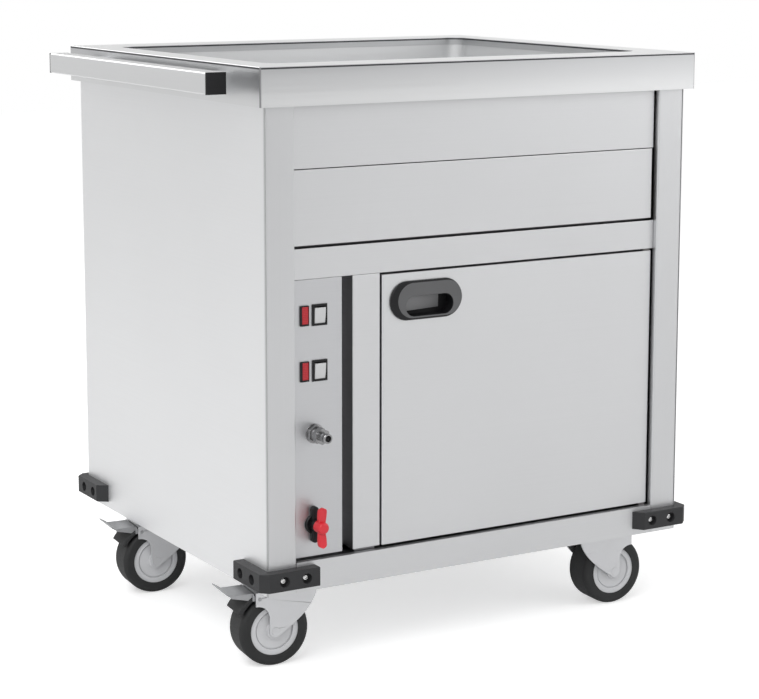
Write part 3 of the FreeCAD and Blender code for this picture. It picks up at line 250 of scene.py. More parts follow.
def tint(tree, shader, source, first, second):
    mix = addNode(tree, "ShaderNodeMix", data_type="RGBA")
    mix.inputs["A"].default_value = (*first, 1)
    mix.inputs["B"].default_value = (*second, 1)
    tree.links.new(source, mix.inputs["Factor"])
    tree.links.new(mix.outputs["Result"], shader.inputs["Base Color"])
    return mix.outputs["Result"]


def overlay(tree, shader, base, mask, colour):
    # lays a second colour over the first where the mask is 1
    mixed = tint(tree, shader, mask, colour, colour)
    tree.links.new(base, mixed.node.inputs["A"])
    return mixed


def between(tree, source, low, high, soft=0.0003):
    # 1 between two places along an axis, 0 outside them, with soft edges
    rise = spread(tree, source, 0, 1, low - soft, low + soft)
    fall = spread(tree, source, 1, 0, high - soft, high + soft)
    return mathNode(tree, "MULTIPLY", rise, fall)


def relief(tree, shader, source, strength, depth):
    bump = addNode(tree, "ShaderNodeBump", {"Strength": strength, "Distance": depth})
    tree.links.new(source, bump.inputs["Height"])
    tree.links.new(bump.outputs[0], shader.inputs["Normal"])


def surfaceGrain(tree, shader, grain, look, setup):
    # the grain varies the gloss and gives a fine relief
    low, high = look["roughness"] - setup["glossVary"], look["roughness"] + setup["glossVary"]
    tree.links.new(spread(tree, grain, low, high), shader.inputs["Roughness"])
    relief(tree, shader, grain, look["bump"], setup["grainDepth"])


# steel finishes

steelSetup = {"cloudScale": (2.2, 2.2, 2.2), "cloudDetail": 2, "grainDetail": 4,
              "glossVary": 0.05, "grainDepth": 0.00004}


def brushedSteel(name, look):
    material, tree, shader = startMaterial(name, look, 1.0)
    place = objectPlace(tree)
    grain = pattern(tree, place, look["grain"], detail=steelSetup["grainDetail"])
    cloud = pattern(tree, place, steelSetup["cloudScale"], detail=steelSetup["cloudDetail"])
    darker = tuple(part * (1 - look["cloud"]) for part in look["colour"])
    steel = tint(tree, shader, spread(tree, cloud, 0, 1), look["colour"], darker)
    if "gap" in look:
        # painted shade, dark over the given span: where two sheets nearly meet, and on faces
        # behind the front
        parts = splitPlace(tree, place)
        mask = between(tree, parts["Y"], *look["gap"])
        if "gapSide" in look:
            side = between(tree, parts["X"], *look["gapSide"])
            mask = mathNode(tree, "MULTIPLY", mask, side)
        overlay(tree, shader, steel, mask, look["gapColour"])
    surfaceGrain(tree, shader, grain, look, steelSetup)
    return material


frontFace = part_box("door_outer")[0][1]
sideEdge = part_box("side_panel_left")[0][1]
railLow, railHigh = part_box("mid_rail")
behindFront = (frontFace + 0.0015, frontFace + 0.7)  # all of a sheet but its front face
sheetFinish = {"roughness": 0.42, "cloud": 0.04, "grain": (3, 3, 700), "bump": 0.15}
steelLooks = {
    # the front, panel and stile steels carry painted shade on every face behind their front face
    "frontSteel": {**sheetFinish, "colour": (0.69, 0.695, 0.705),
                   "gap": behindFront, "gapColour": (0.11, 0.11, 0.115)},
    "panelSteel": {**sheetFinish, "colour": (0.61, 0.615, 0.63),
                   "gap": behindFront, "gapColour": (0.42, 0.42, 0.43)},
    "stileSteel": {**sheetFinish, "colour": (0.70, 0.705, 0.715),
                   "gap": behindFront, "gapColour": (0.36, 0.36, 0.37)},
    "doorSteel": {**sheetFinish, "colour": (0.71, 0.715, 0.725)},
    # painted light: the side sheets are a lighter copy of the front sheet steel; their gap is a
    # painted shade at the bend of the sheet's front edge, and its last value is how softly that
    # shade fades out
    "litSideSteel": {**sheetFinish, "colour": (0.85, 0.855, 0.862), "roughness": 0.46, "cloud": 0.02,
                  "gap": (sideEdge - 0.0045, sideEdge + 0.0030, 0.0022),
                  "gapColour": (0.50, 0.505, 0.51)},
    "postSteel": {"colour": (0.665, 0.67, 0.68), "roughness": 0.40, "cloud": 0.03,
                  "grain": (700, 700, 3), "bump": 0.12,
                  # painted shade on the posts' faces behind their front, within the rails' width
                  "gap": (frontFace + 0.0010, frontFace + 0.0400),
                  "gapSide": (railLow[0] - 0.0014, railHigh[0] + 0.0014),
                  "gapColour": (0.11, 0.11, 0.115)},
    "basinSteel": {"colour": (0.80, 0.805, 0.81), "roughness": 0.40, "cloud": 0.03,
                   "grain": (3, 3, 500), "bump": 0.1},
    "tubeSteel": {"colour": (0.78, 0.785, 0.79), "roughness": 0.33, "cloud": 0.02,
                  "grain": (260, 5, 260), "bump": 0.01},
    "zincSteel": {"colour": (0.70, 0.705, 0.72), "roughness": 0.40, "cloud": 0.05,
                  "grain": (260, 260, 260), "bump": 0.06},
    "pedalSteel": {"colour": (0.42, 0.425, 0.435), "roughness": 0.42, "cloud": 0.08,
                   "grain": (260, 260, 260), "bump": 0.06},
    "brightMetal": {"colour": (0.78, 0.78, 0.78), "roughness": 0.20, "cloud": 0.05,
                    "grain": (200, 200, 200), "bump": 0.1},
    "nickel": {"colour": (0.33, 0.33, 0.335), "roughness": 0.24, "cloud": 0.1,
               "grain": (300, 300, 300), "bump": 0.05},
    "darkSteel": {"colour": (0.20, 0.19, 0.19), "roughness": 0.5, "cloud": 0.3,
                  "grain": (40, 40, 40), "bump": 0.3},
    "copper": {"colour": (0.72, 0.42, 0.30), "roughness": 0.32, "cloud": 0.15,
               "grain": (60, 60, 60), "bump": 0.1},
}

topLook = {
    "colour": (0.79, 0.795, 0.80), "roughness": 0.33, "grain": (3, 500, 700), "bump": 0.12,
    # depths under the worktop's upper face: painted shade band, painted dark reflection line,
    # painted highlight
    "shadeBandColour": (0.57, 0.575, 0.585), "shadeBand": (0.050, 0.004),
    "lineColour": (0.06, 0.06, 0.065), "line": (0.0032, 0.0010),
    "highlightColour": (0.92, 0.923, 0.925), "highlightSoft": 0.0006,
    # how far the ground weld reaches from each corner along X and Y
    "weldColour": (0.30, 0.30, 0.31), "weld": (0.0018, 0.0020), "weldSoft": 0.0006,
}


def apronSteel(name, look):
    # satin worktop steel: painted shade darkening the apron towards its upper edge, a painted
    # dark reflection line under the top edge, a painted highlight on the upper face, and dark
    # ground corner welds
    low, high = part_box("worktop")
    top = high[2]
    material, tree, shader = startMaterial(name, look, 1.0)
    place = objectPlace(tree)
    grain = pattern(tree, place, look["grain"], detail=steelSetup["grainDetail"])
    parts = splitPlace(tree, place)
    # painted shade: the apron darkens towards its upper edge
    shadeBand = spread(tree, parts["Z"], 0, 1, top - look["shadeBand"][0], top - look["shadeBand"][1])
    steel = tint(tree, shader, shadeBand, look["colour"], look["shadeBandColour"])
    # painted reflection: a dark line just under the top edge
    line = between(tree, parts["Z"], top - look["line"][0], top - look["line"][1])
    steel = overlay(tree, shader, steel, line, look["lineColour"])
    # painted highlight: the upper face is lighter
    upper = spread(tree, parts["Z"], 0, 1, top - look["highlightSoft"], top)
    steel = overlay(tree, shader, steel, upper, look["highlightColour"])
    sides = []
    for axis, weld in enumerate(look["weld"]):
        middle, start = (low[axis] + high[axis]) / 2, (high[axis] - low[axis]) / 2 - weld
        away = mathNode(tree, "ABSOLUTE", mathNode(tree, "SUBTRACT", parts[axis], middle))
        sides.append(spread(tree, away, 0, 1, start - look["weldSoft"], start + look["weldSoft"]))
    overlay(tree, shader, steel, mathNode(tree, "MULTIPLY", *sides), look["weldColour"])
    surfaceGrain(tree, shader, grain, look, steelSetup)
    return material


# plastics, rubber, lens and wool

plasticSetup = {"cloudSize": 14, "cloudDetail": 2, "grainDetail": 5, "specular": 0.5,
                "glossVary": 0.06, "grainDepth": 0.0001}


def mouldedPlastic(name, look):
    setup = plasticSetup
    material, tree, shader = startMaterial(name, look)
    shader.inputs["Specular IOR Level"].default_value = look.get("specular", setup["specular"])
    place = objectPlace(tree)
    grain = pattern(tree, place, (1, 1, 1), look["grainSize"], setup["grainDetail"])
    cloud = pattern(tree, place, (1, 1, 1), setup["cloudSize"], setup["cloudDetail"])
    lighter = tuple(min(1.0, part * (1 + look["cloud"])) for part in look["colour"])
    tint(tree, shader, spread(tree, cloud, 0, 1), look["colour"], lighter)
    surfaceGrain(tree, shader, grain, look, setup)
    return material


plasticLooks = {
    "blackPlastic": {"colour": (0.008, 0.008, 0.009), "roughness": 0.42, "cloud": 0.3,
                     "grainSize": 900, "bump": 0.25, "specular": 0.28},
    "gripPlastic": {"colour": (0.095, 0.096, 0.099), "roughness": 0.46, "cloud": 0.12,
                    "grainSize": 900, "bump": 0.25},
    # painted light: a lighter copy of the grip plastic for the finger ramp
    "litRampPlastic": {"colour": (0.15, 0.151, 0.155), "roughness": 0.40, "cloud": 0.12,
                    "grainSize": 900, "bump": 0.25},
    "bumperPlastic": {"colour": (0.024, 0.0245, 0.026), "roughness": 0.48, "cloud": 0.25,
                      "grainSize": 700, "bump": 0.35, "specular": 0.32},
    "tyreRubber": {"colour": (0.020, 0.0205, 0.021), "roughness": 0.62, "cloud": 0.35,
                   "grainSize": 500, "bump": 0.3, "specular": 0.35},
    "hubNylon": {"colour": (0.62, 0.625, 0.64), "roughness": 0.42, "cloud": 0.04,
                 "grainSize": 500, "bump": 0.15},
    "rockerWhite": {"colour": (0.58, 0.585, 0.59), "roughness": 0.38, "cloud": 0.03,
                    "grainSize": 900, "bump": 0.1},
    "redPlastic": {"colour": (0.62, 0.022, 0.035), "roughness": 0.36, "cloud": 0.15,
                   "grainSize": 700, "bump": 0.15},
    "sealRubber": {"colour": (0.10, 0.10, 0.105), "roughness": 0.7, "cloud": 0.1,
                   "grainSize": 400, "bump": 0.2},
}

lensLook = {"colour": (0.36, 0.004, 0.010), "ribColour": (0.50, 0.010, 0.022), "roughness": 0.22,
            "coat": 0.2, "coatRoughness": 0.08, "ribs": 130, "bump": 0.25, "depth": 0.0002}


def ribbedLens(name, look):
    material, tree, shader = startMaterial(name, look)
    shader.inputs["Coat Weight"].default_value = look["coat"]
    shader.inputs["Coat Roughness"].default_value = look["coatRoughness"]
    ribs = addNode(tree, "ShaderNodeTexWave", {"Scale": look["ribs"], "Distortion": 0.0},
                   bands_direction="Z")
    tree.links.new(objectPlace(tree), ribs.inputs["Vector"])
    height = ribs.outputs["Fac"]
    tint(tree, shader, spread(tree, height, 0, 1, 0, 1), look["colour"], look["ribColour"])
    relief(tree, shader, height, look["bump"], look["depth"])
    return material


woolLook = {"colour": (0.62, 0.52, 0.28), "lightColour": (0.82, 0.74, 0.48), "roughness": 0.95,
            "fibre": (30, 30, 140), "detail": 6, "distortion": 0.6, "bump": 0.6, "depth": 0.001}


def woolBlanket(name, look):
    material, tree, shader = startMaterial(name, look)
    fibre = pattern(tree, objectPlace(tree), look["fibre"], detail=look["detail"],
                    distortion=look["distortion"])
    tint(tree, shader, spread(tree, fibre, 0, 1), look["colour"], look["lightColour"])
    relief(tree, shader, fibre, look["bump"], look["depth"])
    return material


def makeMaterials():
    made = {name: brushedSteel(name, look) for name, look in steelLooks.items()}
    made["topSteel"] = apronSteel("topSteel", topLook)
    for name, look in plasticLooks.items():
        made[name] = mouldedPlastic(name, look)
    made["redLens"] = ribbedLens("redLens", lensLook)
    made["wool"] = woolBlanket("wool", woolLook)
    print("made", len(made), "materials")
    return made


# the CAD nodes: the finish of each, and how far its edges are rounded (0 only splits them)

nodeFinish = {
    "worktop": ("topSteel", 0.0006),
    "well_basin": ("basinSteel", 0.0),
    "well_insulation": ("wool", 0.0),
    "well_heater": ("darkSteel", 0.0),
    "corner_posts": ("postSteel", 0.0),
    "side_panel_left": ("litSideSteel", 0.0),
    "side_panel_right": ("litSideSteel", 0.0),
    "back_panel": ("litSideSteel", 0.0),
    "base_pan": ("doorSteel", 0.0),
    "bottom_rail": ("frontSteel", 0.0),
    "upper_fascia": ("frontSteel", 0.0),
    "mid_rail": ("frontSteel", 0.0008),
    "service_panel": ("frontSteel", 0.0),
    "stile": ("stileSteel", 0.0008),
    "control_panel": ("panelSteel", 0.0),
    "indicator_lamps": ("redLens", 0.0),
    "switch_bezels": ("blackPlastic", 0.0),
    "well_switch": ("rockerWhite", 0.0005),
    "cupboard_switch": ("rockerWhite", 0.0005),
    "wiring_box": ("litSideSteel", 0.0),
    "drain_pipe": ("copper", 0.0),
    "overflow_pipe": ("copper", 0.0),
    "overflow_coupling": ("nickel", 0.0006),
    "drain_valve": ("blackPlastic", 0.001),
    "drain_lever": ("redPlastic", 0.0008),
    "cupboard_liner": ("basinSteel", 0.0),
    "cupboard_shelf": ("basinSteel", 0.0),
    "cupboard_heater": ("darkSteel", 0.0),
    "door_outer": ("doorSteel", 0.0008),
    "door_inner": ("basinSteel", 0.0),
    "door_gasket": ("sealRubber", 0.001),
    "door_grip": ("gripPlastic", 0.0006),
    "hinge_pins": ("darkSteel", 0.0),
    "door_catch": ("blackPlastic", 0.0),
    "handle_tube": ("tubeSteel", 0.0),
    "handle_end_caps": ("blackPlastic", 0.0),
    "handle_brackets": ("tubeSteel", 0.0008),
    "corner_bumpers": ("bumperPlastic", 0.0),
    "bumper_screws": ("brightMetal", 0.0004),
    "castor_plates": ("zincSteel", 0.0006),
    "castor_bolts": ("zincSteel", 0.0004),
    "cable_gland": ("blackPlastic", 0.0005),
}
castorFinish = {
    "castor_fork_": ("zincSteel", 0.0008),
    "castor_axle_": ("zincSteel", 0.0),
    "castor_tyre_": ("tyreRubber", 0.0),
    "castor_hub_": ("hubNylon", 0.0003),
}
pedalFinish = ("pedalSteel", 0.0004)
brakedCorners = ("front_left", "back_left")
castorCorners = brakedCorners + ("front_right", "back_right")
for corner in castorCorners:
    for part, finish in castorFinish.items():
        nodeFinish[part + corner] = finish
for corner in brakedCorners:
    nodeFinish["brake_pedal_" + corner] = pedalFinish

edgeSetup = {"weld": 0.000002, "splitAngle": 30, "roundAngle": 32, "faceWeight": 100}


def smoothEdges(piece, edge, steps=2):
    # rounds or splits sharp edges and lets the large faces set the shading
    piece.data.shade_smooth()
    if edge == 0:
        split = piece.modifiers.new("split", "EDGE_SPLIT")
        split.split_angle = math.radians(edgeSetup["splitAngle"])
    else:
        bevel = piece.modifiers.new("bevel", "BEVEL")
        bevel.limit_method = "ANGLE"
        bevel.angle_limit = math.radians(edgeSetup["roundAngle"])
        bevel.width = edge
        bevel.segments = steps
    normals = piece.modifiers.new("normals", "WEIGHTED_NORMAL")
    normals.mode = "FACE_AREA"
    normals.weight = edgeSetup["faceWeight"]
    normals.keep_sharp = True


def dressNodes():
    for name, (finish, edge) in nodeFinish.items():
        piece = nodes[name]
        piece.data.materials.clear()
        piece.data.materials.append(materials[finish])
        weld = piece.modifiers.new("weld", "WELD")
        weld.merge_threshold = edgeSetup["weld"]
        smoothEdges(piece, edge)
    print("dressed", len(nodeFinish), "CAD nodes")


# tools for the new pieces

towardsFront = (0, -1, 0)
towardsBack = (0, 1, 0)


def finishPiece(name, bm, body, finish, edge=0.0, steps=2, replaced=()):
    # two finishes are joined with a plus sign
    bmesh.ops.remove_doubles(bm, verts=bm.verts, dist=edgeSetup["weld"])
    bmesh.ops.recalc_face_normals(bm, faces=bm.faces)
    mesh = bpy.data.meshes.new(name)
    bm.to_mesh(mesh)
    bm.free()
    for look in finish.split("+"):
        mesh.materials.append(materials[look])
    piece = bpy.data.objects.new(name, mesh)
    bpy.context.collection.objects.link(piece)
    smoothEdges(piece, edge, steps)
    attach(piece, body)
    if replaced:
        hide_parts(*replaced)
    print("made", name)


def newVerts(made):
    return [item for item in made["geom"] if isinstance(item, bmesh.types.BMVert)]


def newFaces(made):
    return [item for item in made["geom"] if isinstance(item, bmesh.types.BMFace)]


def turned(bm, profile, place, axis, steps=48):
    # spins (radius, along) points round an axis, as a lathe would
    direction = Vector(axis).normalized()
    side = direction.orthogonal().normalized()
    points = [bm.verts.new(Vector(place) + direction * along + side * radius)
              for radius, along in profile]
    edges = [bm.edges.new(pair) for pair in zip(points, points[1:])]
    bmesh.ops.spin(bm, geom=points + edges, cent=place, axis=direction, angle=math.tau,
                   steps=steps, use_merge=True, use_duplicate=False)


def slotRings(bm, rings, segments=96):
    # grows a tube through slot-shaped rings of (width, height, centre) on the XZ plane;
    # gives the faces of each band and the edges of the last ring
    angle = bm.verts.layers.float.new("angle")
    verts = bmesh.ops.create_circle(bm, segments=segments, radius=1)["verts"]
    for vert in verts:
        vert[angle] = math.atan2(vert.co.y, vert.co.x) + math.pi / segments
    edges, bands = [], []
    for width, height, centre in rings:
        if edges:
            made = bmesh.ops.extrude_edge_only(bm, edges=edges)
            verts = newVerts(made)
            bands.append(newFaces(made))
        for vert in verts:
            across, up = math.cos(vert[angle]), math.sin(vert[angle])
            straight = math.copysign((width - height) / 2, across)
            offset = Vector((straight + across * height / 2, 0, up * height / 2))
            vert.co = Vector(centre) + offset
        ring = set(verts)
        edges = list({edge for vert in verts for edge in vert.link_edges
                      if edge.other_vert(vert) in ring})
    return bands, edges


def slab(bm, low, high):
    # a plain block between two corners, to be bevelled
    low, high = Vector(low), Vector(high)
    made = bmesh.ops.create_cube(bm, size=1)["verts"]
    bmesh.ops.scale(bm, vec=high - low, verts=made)
    bmesh.ops.translate(bm, vec=(low + high) / 2, verts=made)


# door grip

gripLook = {
    "wall": 0.0022,  # straight part of the outer edge
    "edgeNarrower": 0.0012, "edgeDepth": 0.0013, "edgeShift": 0.0002,
    "flareNarrower": 0.001, "flareDepth": 0.0006,
    "plateNarrower": (0.0120, 0.0056), "plateShift": (0.0050, 0.0002),
    "opening": (0.079, 0.029), "openingShift": (0.0044, -0.0083),
    "mouthWider": 0.001, "mouthDepth": 0.0008, "pocket": 0.0205, "greyBands": (4, 5),
    "rampEnd": (0.0260, -0.0150), "rampFall": (0.0105, 0.0055), "rampSheet": 0.0016,
    "rampFit": 0.0004, "rampStart": 0.0004, "rampSlant": 0.16, "rampEdge": 0.0004,
    "cutWeld": 0.000001,
}


def addGrip():
    look = gripLook
    low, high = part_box("door_grip")
    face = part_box("door_outer")[0][1]
    front = low[1]
    wall = face - look["wall"]
    width, height = high[0] - low[0], high[2] - low[2]
    middle = Vector(((low[0] + high[0]) / 2, 0, (low[2] + high[2]) / 2))

    def at(depth, shift=(0, 0)):
        return middle + Vector((shift[0], depth, shift[1]))

    edge, mouth = look["edgeNarrower"], look["mouthWider"]
    plateWidth, plateHeight = width - look["plateNarrower"][0], height - look["plateNarrower"][1]
    plateShift, place = look["plateShift"], look["openingShift"]
    openWidth, openHeight = look["opening"]
    bm = bmesh.new()
    bands, edges = slotRings(bm, [
        (width, height, at(face)),
        (width, height, at(wall)),
        (width - edge, height - edge, at(wall - look["edgeDepth"], (look["edgeShift"], 0))),
        ((width + plateWidth) / 2 - look["flareNarrower"], (height + plateHeight) / 2,
         at(front + look["flareDepth"], (plateShift[0] / 2, 0))),
        (plateWidth, plateHeight, at(front, plateShift)),
        (openWidth + mouth, openHeight + mouth, at(front, place)),
        (openWidth, openHeight, at(front + look["mouthDepth"], place)),
        (openWidth, openHeight, at(front + look["pocket"], place)),
    ])
    bmesh.ops.contextual_create(bm, geom=edges)
    # the bands left out stay black plastic as painted shade on the rim walls and the pocket
    # walls, over their real shade
    for number in look["greyBands"]:
        for item in bands[number]:
            item.material_index = 1
    finishPiece("door_grip_shell", bm, "door", "blackPlastic+gripPlastic",
                replaced=("door_grip",))

    # the finger ramp, cut short of the right and lower walls, falls away from the upper left
    bm = bmesh.new()
    fit = look["rampFit"]
    edges = slotRings(bm, [(openWidth - fit, openHeight - fit, at(front, place))])[1]
    bmesh.ops.contextual_create(bm, geom=edges)
    endAcross, endDown = look["rampEnd"]
    cuts = (((endAcross, 0), (1, 0, look["rampSlant"])), ((0, endDown), (0, 0, -1)))
    for spot, normal in cuts:
        bmesh.ops.bisect_plane(bm, geom=bm.verts[:] + bm.edges[:] + bm.faces[:],
                               dist=look["cutWeld"], plane_co=at(front, spot), plane_no=normal,
                               clear_outer=True)
    left = middle.x + place[0] - openWidth / 2
    top = middle.z + place[1] + openHeight / 2
    fallAcross, fallDown = look["rampFall"]
    for vert in bm.verts:
        across = (vert.co.x - left) / (middle.x + endAcross - left)
        down = (top - vert.co.z) / (top - middle.z - endDown)
        vert.co.y += look["rampStart"] + fallAcross * across + fallDown * down
    made = bmesh.ops.extrude_face_region(bm, geom=bm.faces[:])
    bmesh.ops.translate(bm, verts=newVerts(made), vec=(0, look["rampSheet"], 0))
    finishPiece("door_grip_ramp", bm, "door", "litRampPlastic", look["rampEdge"],
                replaced=("door_grip",))


# indicator lamps

lampLook = {
    "width": 0.0137, "height": 0.028, "rim": (0.0026, 0.0008, 0.0024, 0.0012),
    "frameRise": 0.0023, "lensDrop": 0.0006, "body": 0.0218, "bodyInset": 0.0026,
    "tuck": 0.0002, "edge": 0.0003,  # tuck: how far parts reach into their neighbours
}


def addPanelLamps():
    look = lampLook
    low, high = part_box("indicator_lamps")
    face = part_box("control_panel")[0][1]
    x = (low[0] + high[0]) / 2
    w, h = look["width"] / 2, look["height"] / 2
    left, right, bottom, top = look["rim"]
    rise, inset, tuck = look["frameRise"], look["bodyInset"], look["tuck"]
    for row, z in (("upper", high[2] - h), ("lower", low[2] + h)):
        bm = bmesh.new()
        for start, end in (((x - w, z - h), (x - w + left, z + h)),
                           ((x + w - right, z - h), (x + w, z + h)),
                           ((x - w + left, z - h), (x + w - right, z - h + bottom)),
                           ((x - w + left, z + h - top), (x + w - right, z + h))):
            slab(bm, (start[0], face - rise, start[1]), (end[0], face, end[1]))
        slab(bm, (x - w + inset, face - tuck, z - h + inset),
             (x + w - inset, face + look["body"], z + h - inset))
        finishPiece("lamp_frame_" + row, bm, "cabinet", "blackPlastic",
                    look["edge"], replaced=("indicator_lamps",))
        bm = bmesh.new()
        slab(bm, (x - w + left - tuck, face - rise + look["lensDrop"], z - h + bottom - tuck),
             (x + w - right + tuck, face - tuck, z + h - top + tuck))
        finishPiece("lamp_lens_" + row, bm, "cabinet", "redLens", look["edge"],
                    replaced=("indicator_lamps",))


# overflow coupling

couplingLook = {
    # widths and lengths, from the panel to the front
    "washer": (0.028, 0.0015), "nut": (0.024, 0.009), "neck": (0.019, 0.006),
    "cap": (0.021, 0.009), "corner": 0.0016, "threadPitch": 0.0016, "threadDepth": 0.0006,
    "overlap": 0.001, "nozzle": 0.014, "bore": 0.009, "ridge": 0.0007,
    "collar": (0.004, 0.0055, 0.0075),  # foot, crest and foot, from the cap
    "lip": (0.005, 0.0035, 0.001),  # foot, crest and edge, back from the tip
    "tailWall": 0.003, "edge": 0.0003,
}


def hexNut(bm, flats, start, length, corner):
    # a nut that grows from start towards the front, its corners chamfered
    radius = flats / math.sqrt(3)
    made = bmesh.ops.create_cone(bm, cap_ends=True, segments=6, radius1=radius, radius2=radius,
                                 depth=length)["verts"]
    bmesh.ops.rotate(bm, verts=made, cent=(0, 0, 0), matrix=Matrix.Rotation(math.pi / 2, 3, "X"))
    bmesh.ops.translate(bm, verts=made, vec=Vector(start) - Vector((0, length / 2, 0)))
    bmesh.ops.bevel(bm, geom=made, offset=corner, affect="VERTICES", segments=1, profile=0.5,
                    material=-1)


def threads(radius, start, end, pitch, depth):
    # a zigzag outline for a threaded length
    turns = max(1, round((end - start) / pitch))
    step = (end - start) / turns
    outline = []
    for n in range(turns):
        outline += [(radius - depth, start + n * step), (radius, start + (n + 0.5) * step)]
    return outline + [(radius - depth, end)]


def addCoupling():
    look = couplingLook
    low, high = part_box("overflow_coupling")
    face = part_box("control_panel")[0][1]
    place = Vector(((low[0] + high[0]) / 2, face, (low[2] + high[2]) / 2))
    washer, thickness = look["washer"][0] / 2, look["washer"][1]
    neck, overlap = look["neck"][0] / 2, look["overlap"]
    nutEnd = look["nut"][1]
    neckEnd = nutEnd + look["neck"][1]
    capEnd = neckEnd + look["cap"][1]
    bm = bmesh.new()
    turned(bm, [(0.0, 0.0), (washer, 0.0), (washer, thickness), (neck, thickness)], place,
           towardsFront)
    hexNut(bm, look["nut"][0], place - Vector((0, thickness, 0)), nutEnd - thickness,
           look["corner"])
    turned(bm, threads(neck, nutEnd - overlap, neckEnd + overlap, look["threadPitch"],
                       look["threadDepth"]), place, towardsFront)
    hexNut(bm, look["cap"][0], place - Vector((0, neckEnd, 0)), look["cap"][1], look["corner"])

    tip = face - low[1]
    radius, bore = look["nozzle"] / 2, look["bore"] / 2
    tube = radius - look["ridge"]
    collar = [capEnd + step for step in look["collar"]]
    lip = [tip - step for step in look["lip"]]
    turned(bm, [(tube, capEnd - overlap), (tube, collar[0]), (radius, collar[1]),
                (tube, collar[2]), (tube, lip[0]), (radius, lip[1]), (radius, lip[2]),
                (radius - look["lip"][2], tip), (bore, tip), (bore, capEnd)], place, towardsFront)
    tail, tailEnd = neck - look["tailWall"], face - high[1]
    turned(bm, [(bore, 0.0), (tail, 0.0), (tail, tailEnd), (bore, tailEnd), (bore, 0.0)], place,
           towardsFront)
    finishPiece("overflow_fitting", bm, "cabinet", "nickel", look["edge"],
                replaced=("overflow_coupling",))


# drain valve and its lever

valveLook = {
    "bar": (0.011, 0.052, 0.008), "barChamfer": (0.0012, 0.002), "barSegments": 48,
    "flange": (0.028, 0.004), "flangeChamfer": 0.0015, "ring": 0.0018, "ringDepth": 0.0012,
    "neck": 0.016, "neckChamfer": 0.001, "edge": 0.0004,
}


def addValve():
    look = valveLook
    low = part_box("drain_valve")[0]
    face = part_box("control_panel")[0][1]
    axis = jointPlace("drain_lever_turn")
    place = Vector((axis.x, face, axis.z))
    width, height, depth = look["bar"]
    chamfer, chamferDepth = look["barChamfer"]
    bm = bmesh.new()
    steps = ((0.0, 0.0), (0.0, depth - chamferDepth), (chamfer, depth))
    edges = slotRings(bm, [(height - 2 * inset, width - 2 * inset, (0, -along, 0))
                           for inset, along in steps], look["barSegments"])[1]
    bmesh.ops.contextual_create(bm, geom=edges)
    quarter = Matrix.Rotation(math.pi / 2, 3, "Y")
    bmesh.ops.rotate(bm, verts=bm.verts, cent=(0, 0, 0), matrix=quarter)
    bmesh.ops.translate(bm, verts=bm.verts, vec=place)

    radius, thick = look["flange"][0] / 2, look["flange"][1]
    inner, ring = radius - look["flangeChamfer"], look["ring"]
    sunk = thick - look["ringDepth"]
    turned(bm, [(radius, 0.0), (radius, thick - look["flangeChamfer"]), (inner, thick),
                (inner - ring, thick), (inner - 1.5 * ring, sunk), (0.0, sunk)], place,
           towardsFront)
    neck, chamfer = look["neck"] / 2, look["neckChamfer"]
    reach = face - low[1]
    turned(bm, [(neck, 0.0), (neck, reach - chamfer), (neck - chamfer, reach), (0.0, reach)],
           place, towardsFront)
    finishPiece("drain_valve_body", bm, "cabinet", "blackPlastic",
                look["edge"], replaced=("drain_valve",))


leverLook = {
    "span": 0.058, "waist": 0.0042, "wing": 0.0062, "thickness": 0.0062, "lean": 0.003,
    "fullAt": 0.55, "tipFrom": 0.8, "columns": 4, "rows": 28,  # shares of half the span
    "cap": 0.0045, "sunk": 0.0015, "hub": 0.0085, "hubGap": 0.0003, "stem": 0.004,
    "dome": ((0.0035, 0.0), (0.001, 0.0012), (0.0, 0.0035)),  # in from the hub's side, back
    "stemSteps": 24, "edge": 0.0009, "edgeSteps": 3,
}


def addLever():
    look = leverLook
    low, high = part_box("drain_lever")
    axis = jointPlace("drain_lever_turn")
    front, back = low[1], high[1]
    bm = bmesh.new()
    strip = bmesh.ops.create_grid(bm, x_segments=look["columns"], y_segments=look["rows"],
                                  size=1)["verts"]
    for vert in strip:
        along = abs(vert.co.y)
        grown = min(1.0, along / look["fullAt"])
        half = look["waist"] + (look["wing"] - look["waist"]) * grown
        if along > look["tipFrom"]:
            past = (along - look["tipFrom"]) / (1 - look["tipFrom"])
            half *= math.sqrt(max(0.0, 1 - past ** 2))
        lean = -look["lean"] * along * along
        vert.co = Vector((vert.co.x * half, lean, vert.co.y * look["span"] / 2))
    made = bmesh.ops.extrude_face_region(bm, geom=bm.faces[:])
    bmesh.ops.translate(bm, verts=newVerts(made), vec=(0, look["thickness"], 0))
    forward = front + look["cap"] + look["lean"] - look["sunk"]
    bmesh.ops.translate(bm, verts=bm.verts[:], vec=Vector((axis.x, forward, axis.z)))

    hub, stem = look["hub"], look["stem"]
    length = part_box("drain_valve")[0][1] - look["hubGap"] - front
    dome = [(hub - inset, step) for inset, step in look["dome"]]
    place = (axis.x, front, axis.z)
    turned(bm, [(0.0, 0.0), *dome, (hub, length), (0.0, length)], place, towardsBack)
    turned(bm, [(stem, length), (stem, back - front), (0.0, back - front)], place, towardsBack,
           look["stemSteps"])
    finishPiece("drain_lever_wings", bm, "valve_lever", "redPlastic",
                look["edge"], look["edgeSteps"], ("drain_lever",))


# bumper screws

screwLook = {
    "places": (0.0345, 0.0695), "sunk": 0.0042, "head": 0.0105, "dome": 0.0032, "domeSteps": 8,
    "socket": 0.0021, "socketShare": 0.8, "brim": 0.0006, "shank": (0.0025, 0.016), "steps": 20,
}


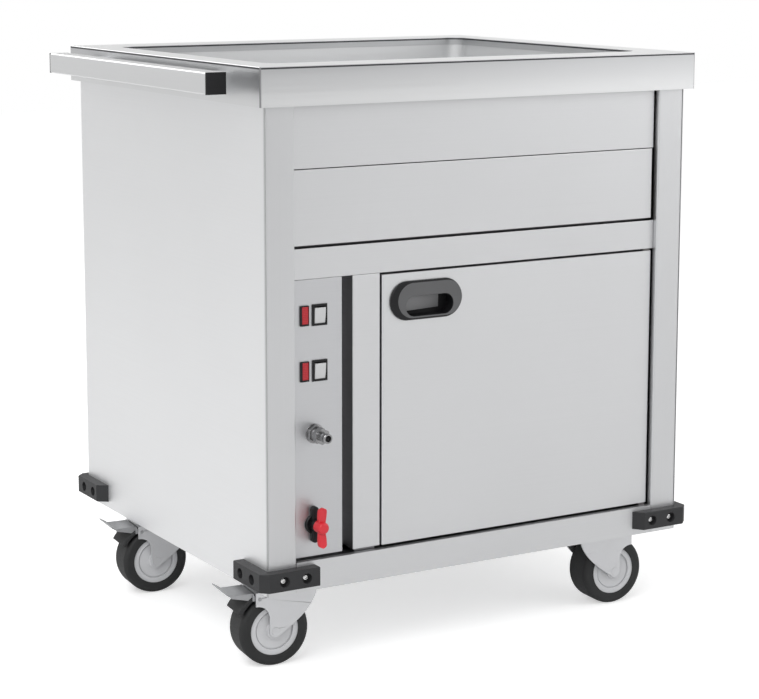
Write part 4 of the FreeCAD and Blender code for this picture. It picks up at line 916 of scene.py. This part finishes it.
def addScrews():
    look = screwLook
    low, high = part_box("corner_bumpers")
    z = (low[2] + high[2]) / 2
    radius, socket, count = look["head"] / 2, look["socket"], look["domeSteps"]
    turns = [math.pi / 2 * n / count for n in range(count + 1)]
    dome = [(radius * math.sin(turn), look["dome"] * (1 - math.cos(turn))) for turn in turns]
    dome = [(out, along) for out, along in dome if out > socket]
    floor, under = look["dome"] * look["socketShare"], look["dome"] + look["brim"]
    shank, shankEnd = look["shank"]
    profile = [(0.0, floor), (socket * look["socketShare"], floor), (socket, dome[0][1]), *dome,
               (radius, under), (shank, under), (shank, shankEnd), (0.0, shankEnd)]
    bm = bmesh.new()
    for x, sx in ((low[0], 1), (high[0], -1)):
        for y, sy in ((low[1], 1), (high[1], -1)):
            for along in look["places"]:
                turned(bm, profile, (x + sx * along, y + sy * look["sunk"], z), (0, sy, 0),
                       look["steps"])
                turned(bm, profile, (x + sx * look["sunk"], y + sy * along, z), (sx, 0, 0),
                       look["steps"])
    finishPiece("bumper_screw_heads", bm, "cabinet", "brightMetal",
                replaced=("bumper_screws",))


# brake shoes

shoeLook = {"inner": 0.0568, "outer": 0.0625, "half": 0.0249, "chamfer": 0.0015,
            "start": 118, "end": 151, "steps": 14, "edge": 0.0006}


def castorFrame(corner):
    # the castor's own frame, turned as its fork is, swivel axis at x = y = 0
    swivel = jointPlace("swivel_" + corner)
    across = joints["roll_" + corner]["axis"]
    turn = math.atan2(-across[0], across[1])
    return Matrix.Translation((swivel.x, swivel.y, 0)) @ Matrix.Rotation(turn, 4, "Z")


def addBrakeShoe(corner):
    look = shoeLook
    place = castorFrame(corner)
    wheel = place.inverted() @ jointPlace("roll_" + corner)
    inner, outer, half, chamfer = look["inner"], look["outer"], look["half"], look["chamfer"]
    section = [(inner, -half), (inner, half), (outer - chamfer, half), (outer, half - chamfer),
               (outer, chamfer - half), (outer - chamfer, -half)]
    start = math.radians(look["start"])
    bm = bmesh.new()
    points = [bm.verts.new((wheel.x + math.cos(start) * r, y, wheel.z + math.sin(start) * r))
              for r, y in section]
    face = bm.faces.new(points)
    bmesh.ops.spin(bm, geom=[face] + face.edges[:] + points, cent=wheel, axis=towardsFront,
                   angle=math.radians(look["end"] - look["start"]), steps=look["steps"],
                   use_duplicate=False)
    bmesh.ops.transform(bm, matrix=place, verts=bm.verts[:])
    finishPiece("brake_shoe_" + corner, bm, "brake_" + corner, "tyreRubber",
                look["edge"])


addCamera()
addLights()
addWorld()
addFloor()
print("set up the camera, the lights and the floor")
materials = makeMaterials()
dressNodes()
addGrip()
addPanelLamps()
addCoupling()
addValve()
addLever()
addScrews()
for brakedCorner in brakedCorners:
    addBrakeShoe(brakedCorner)
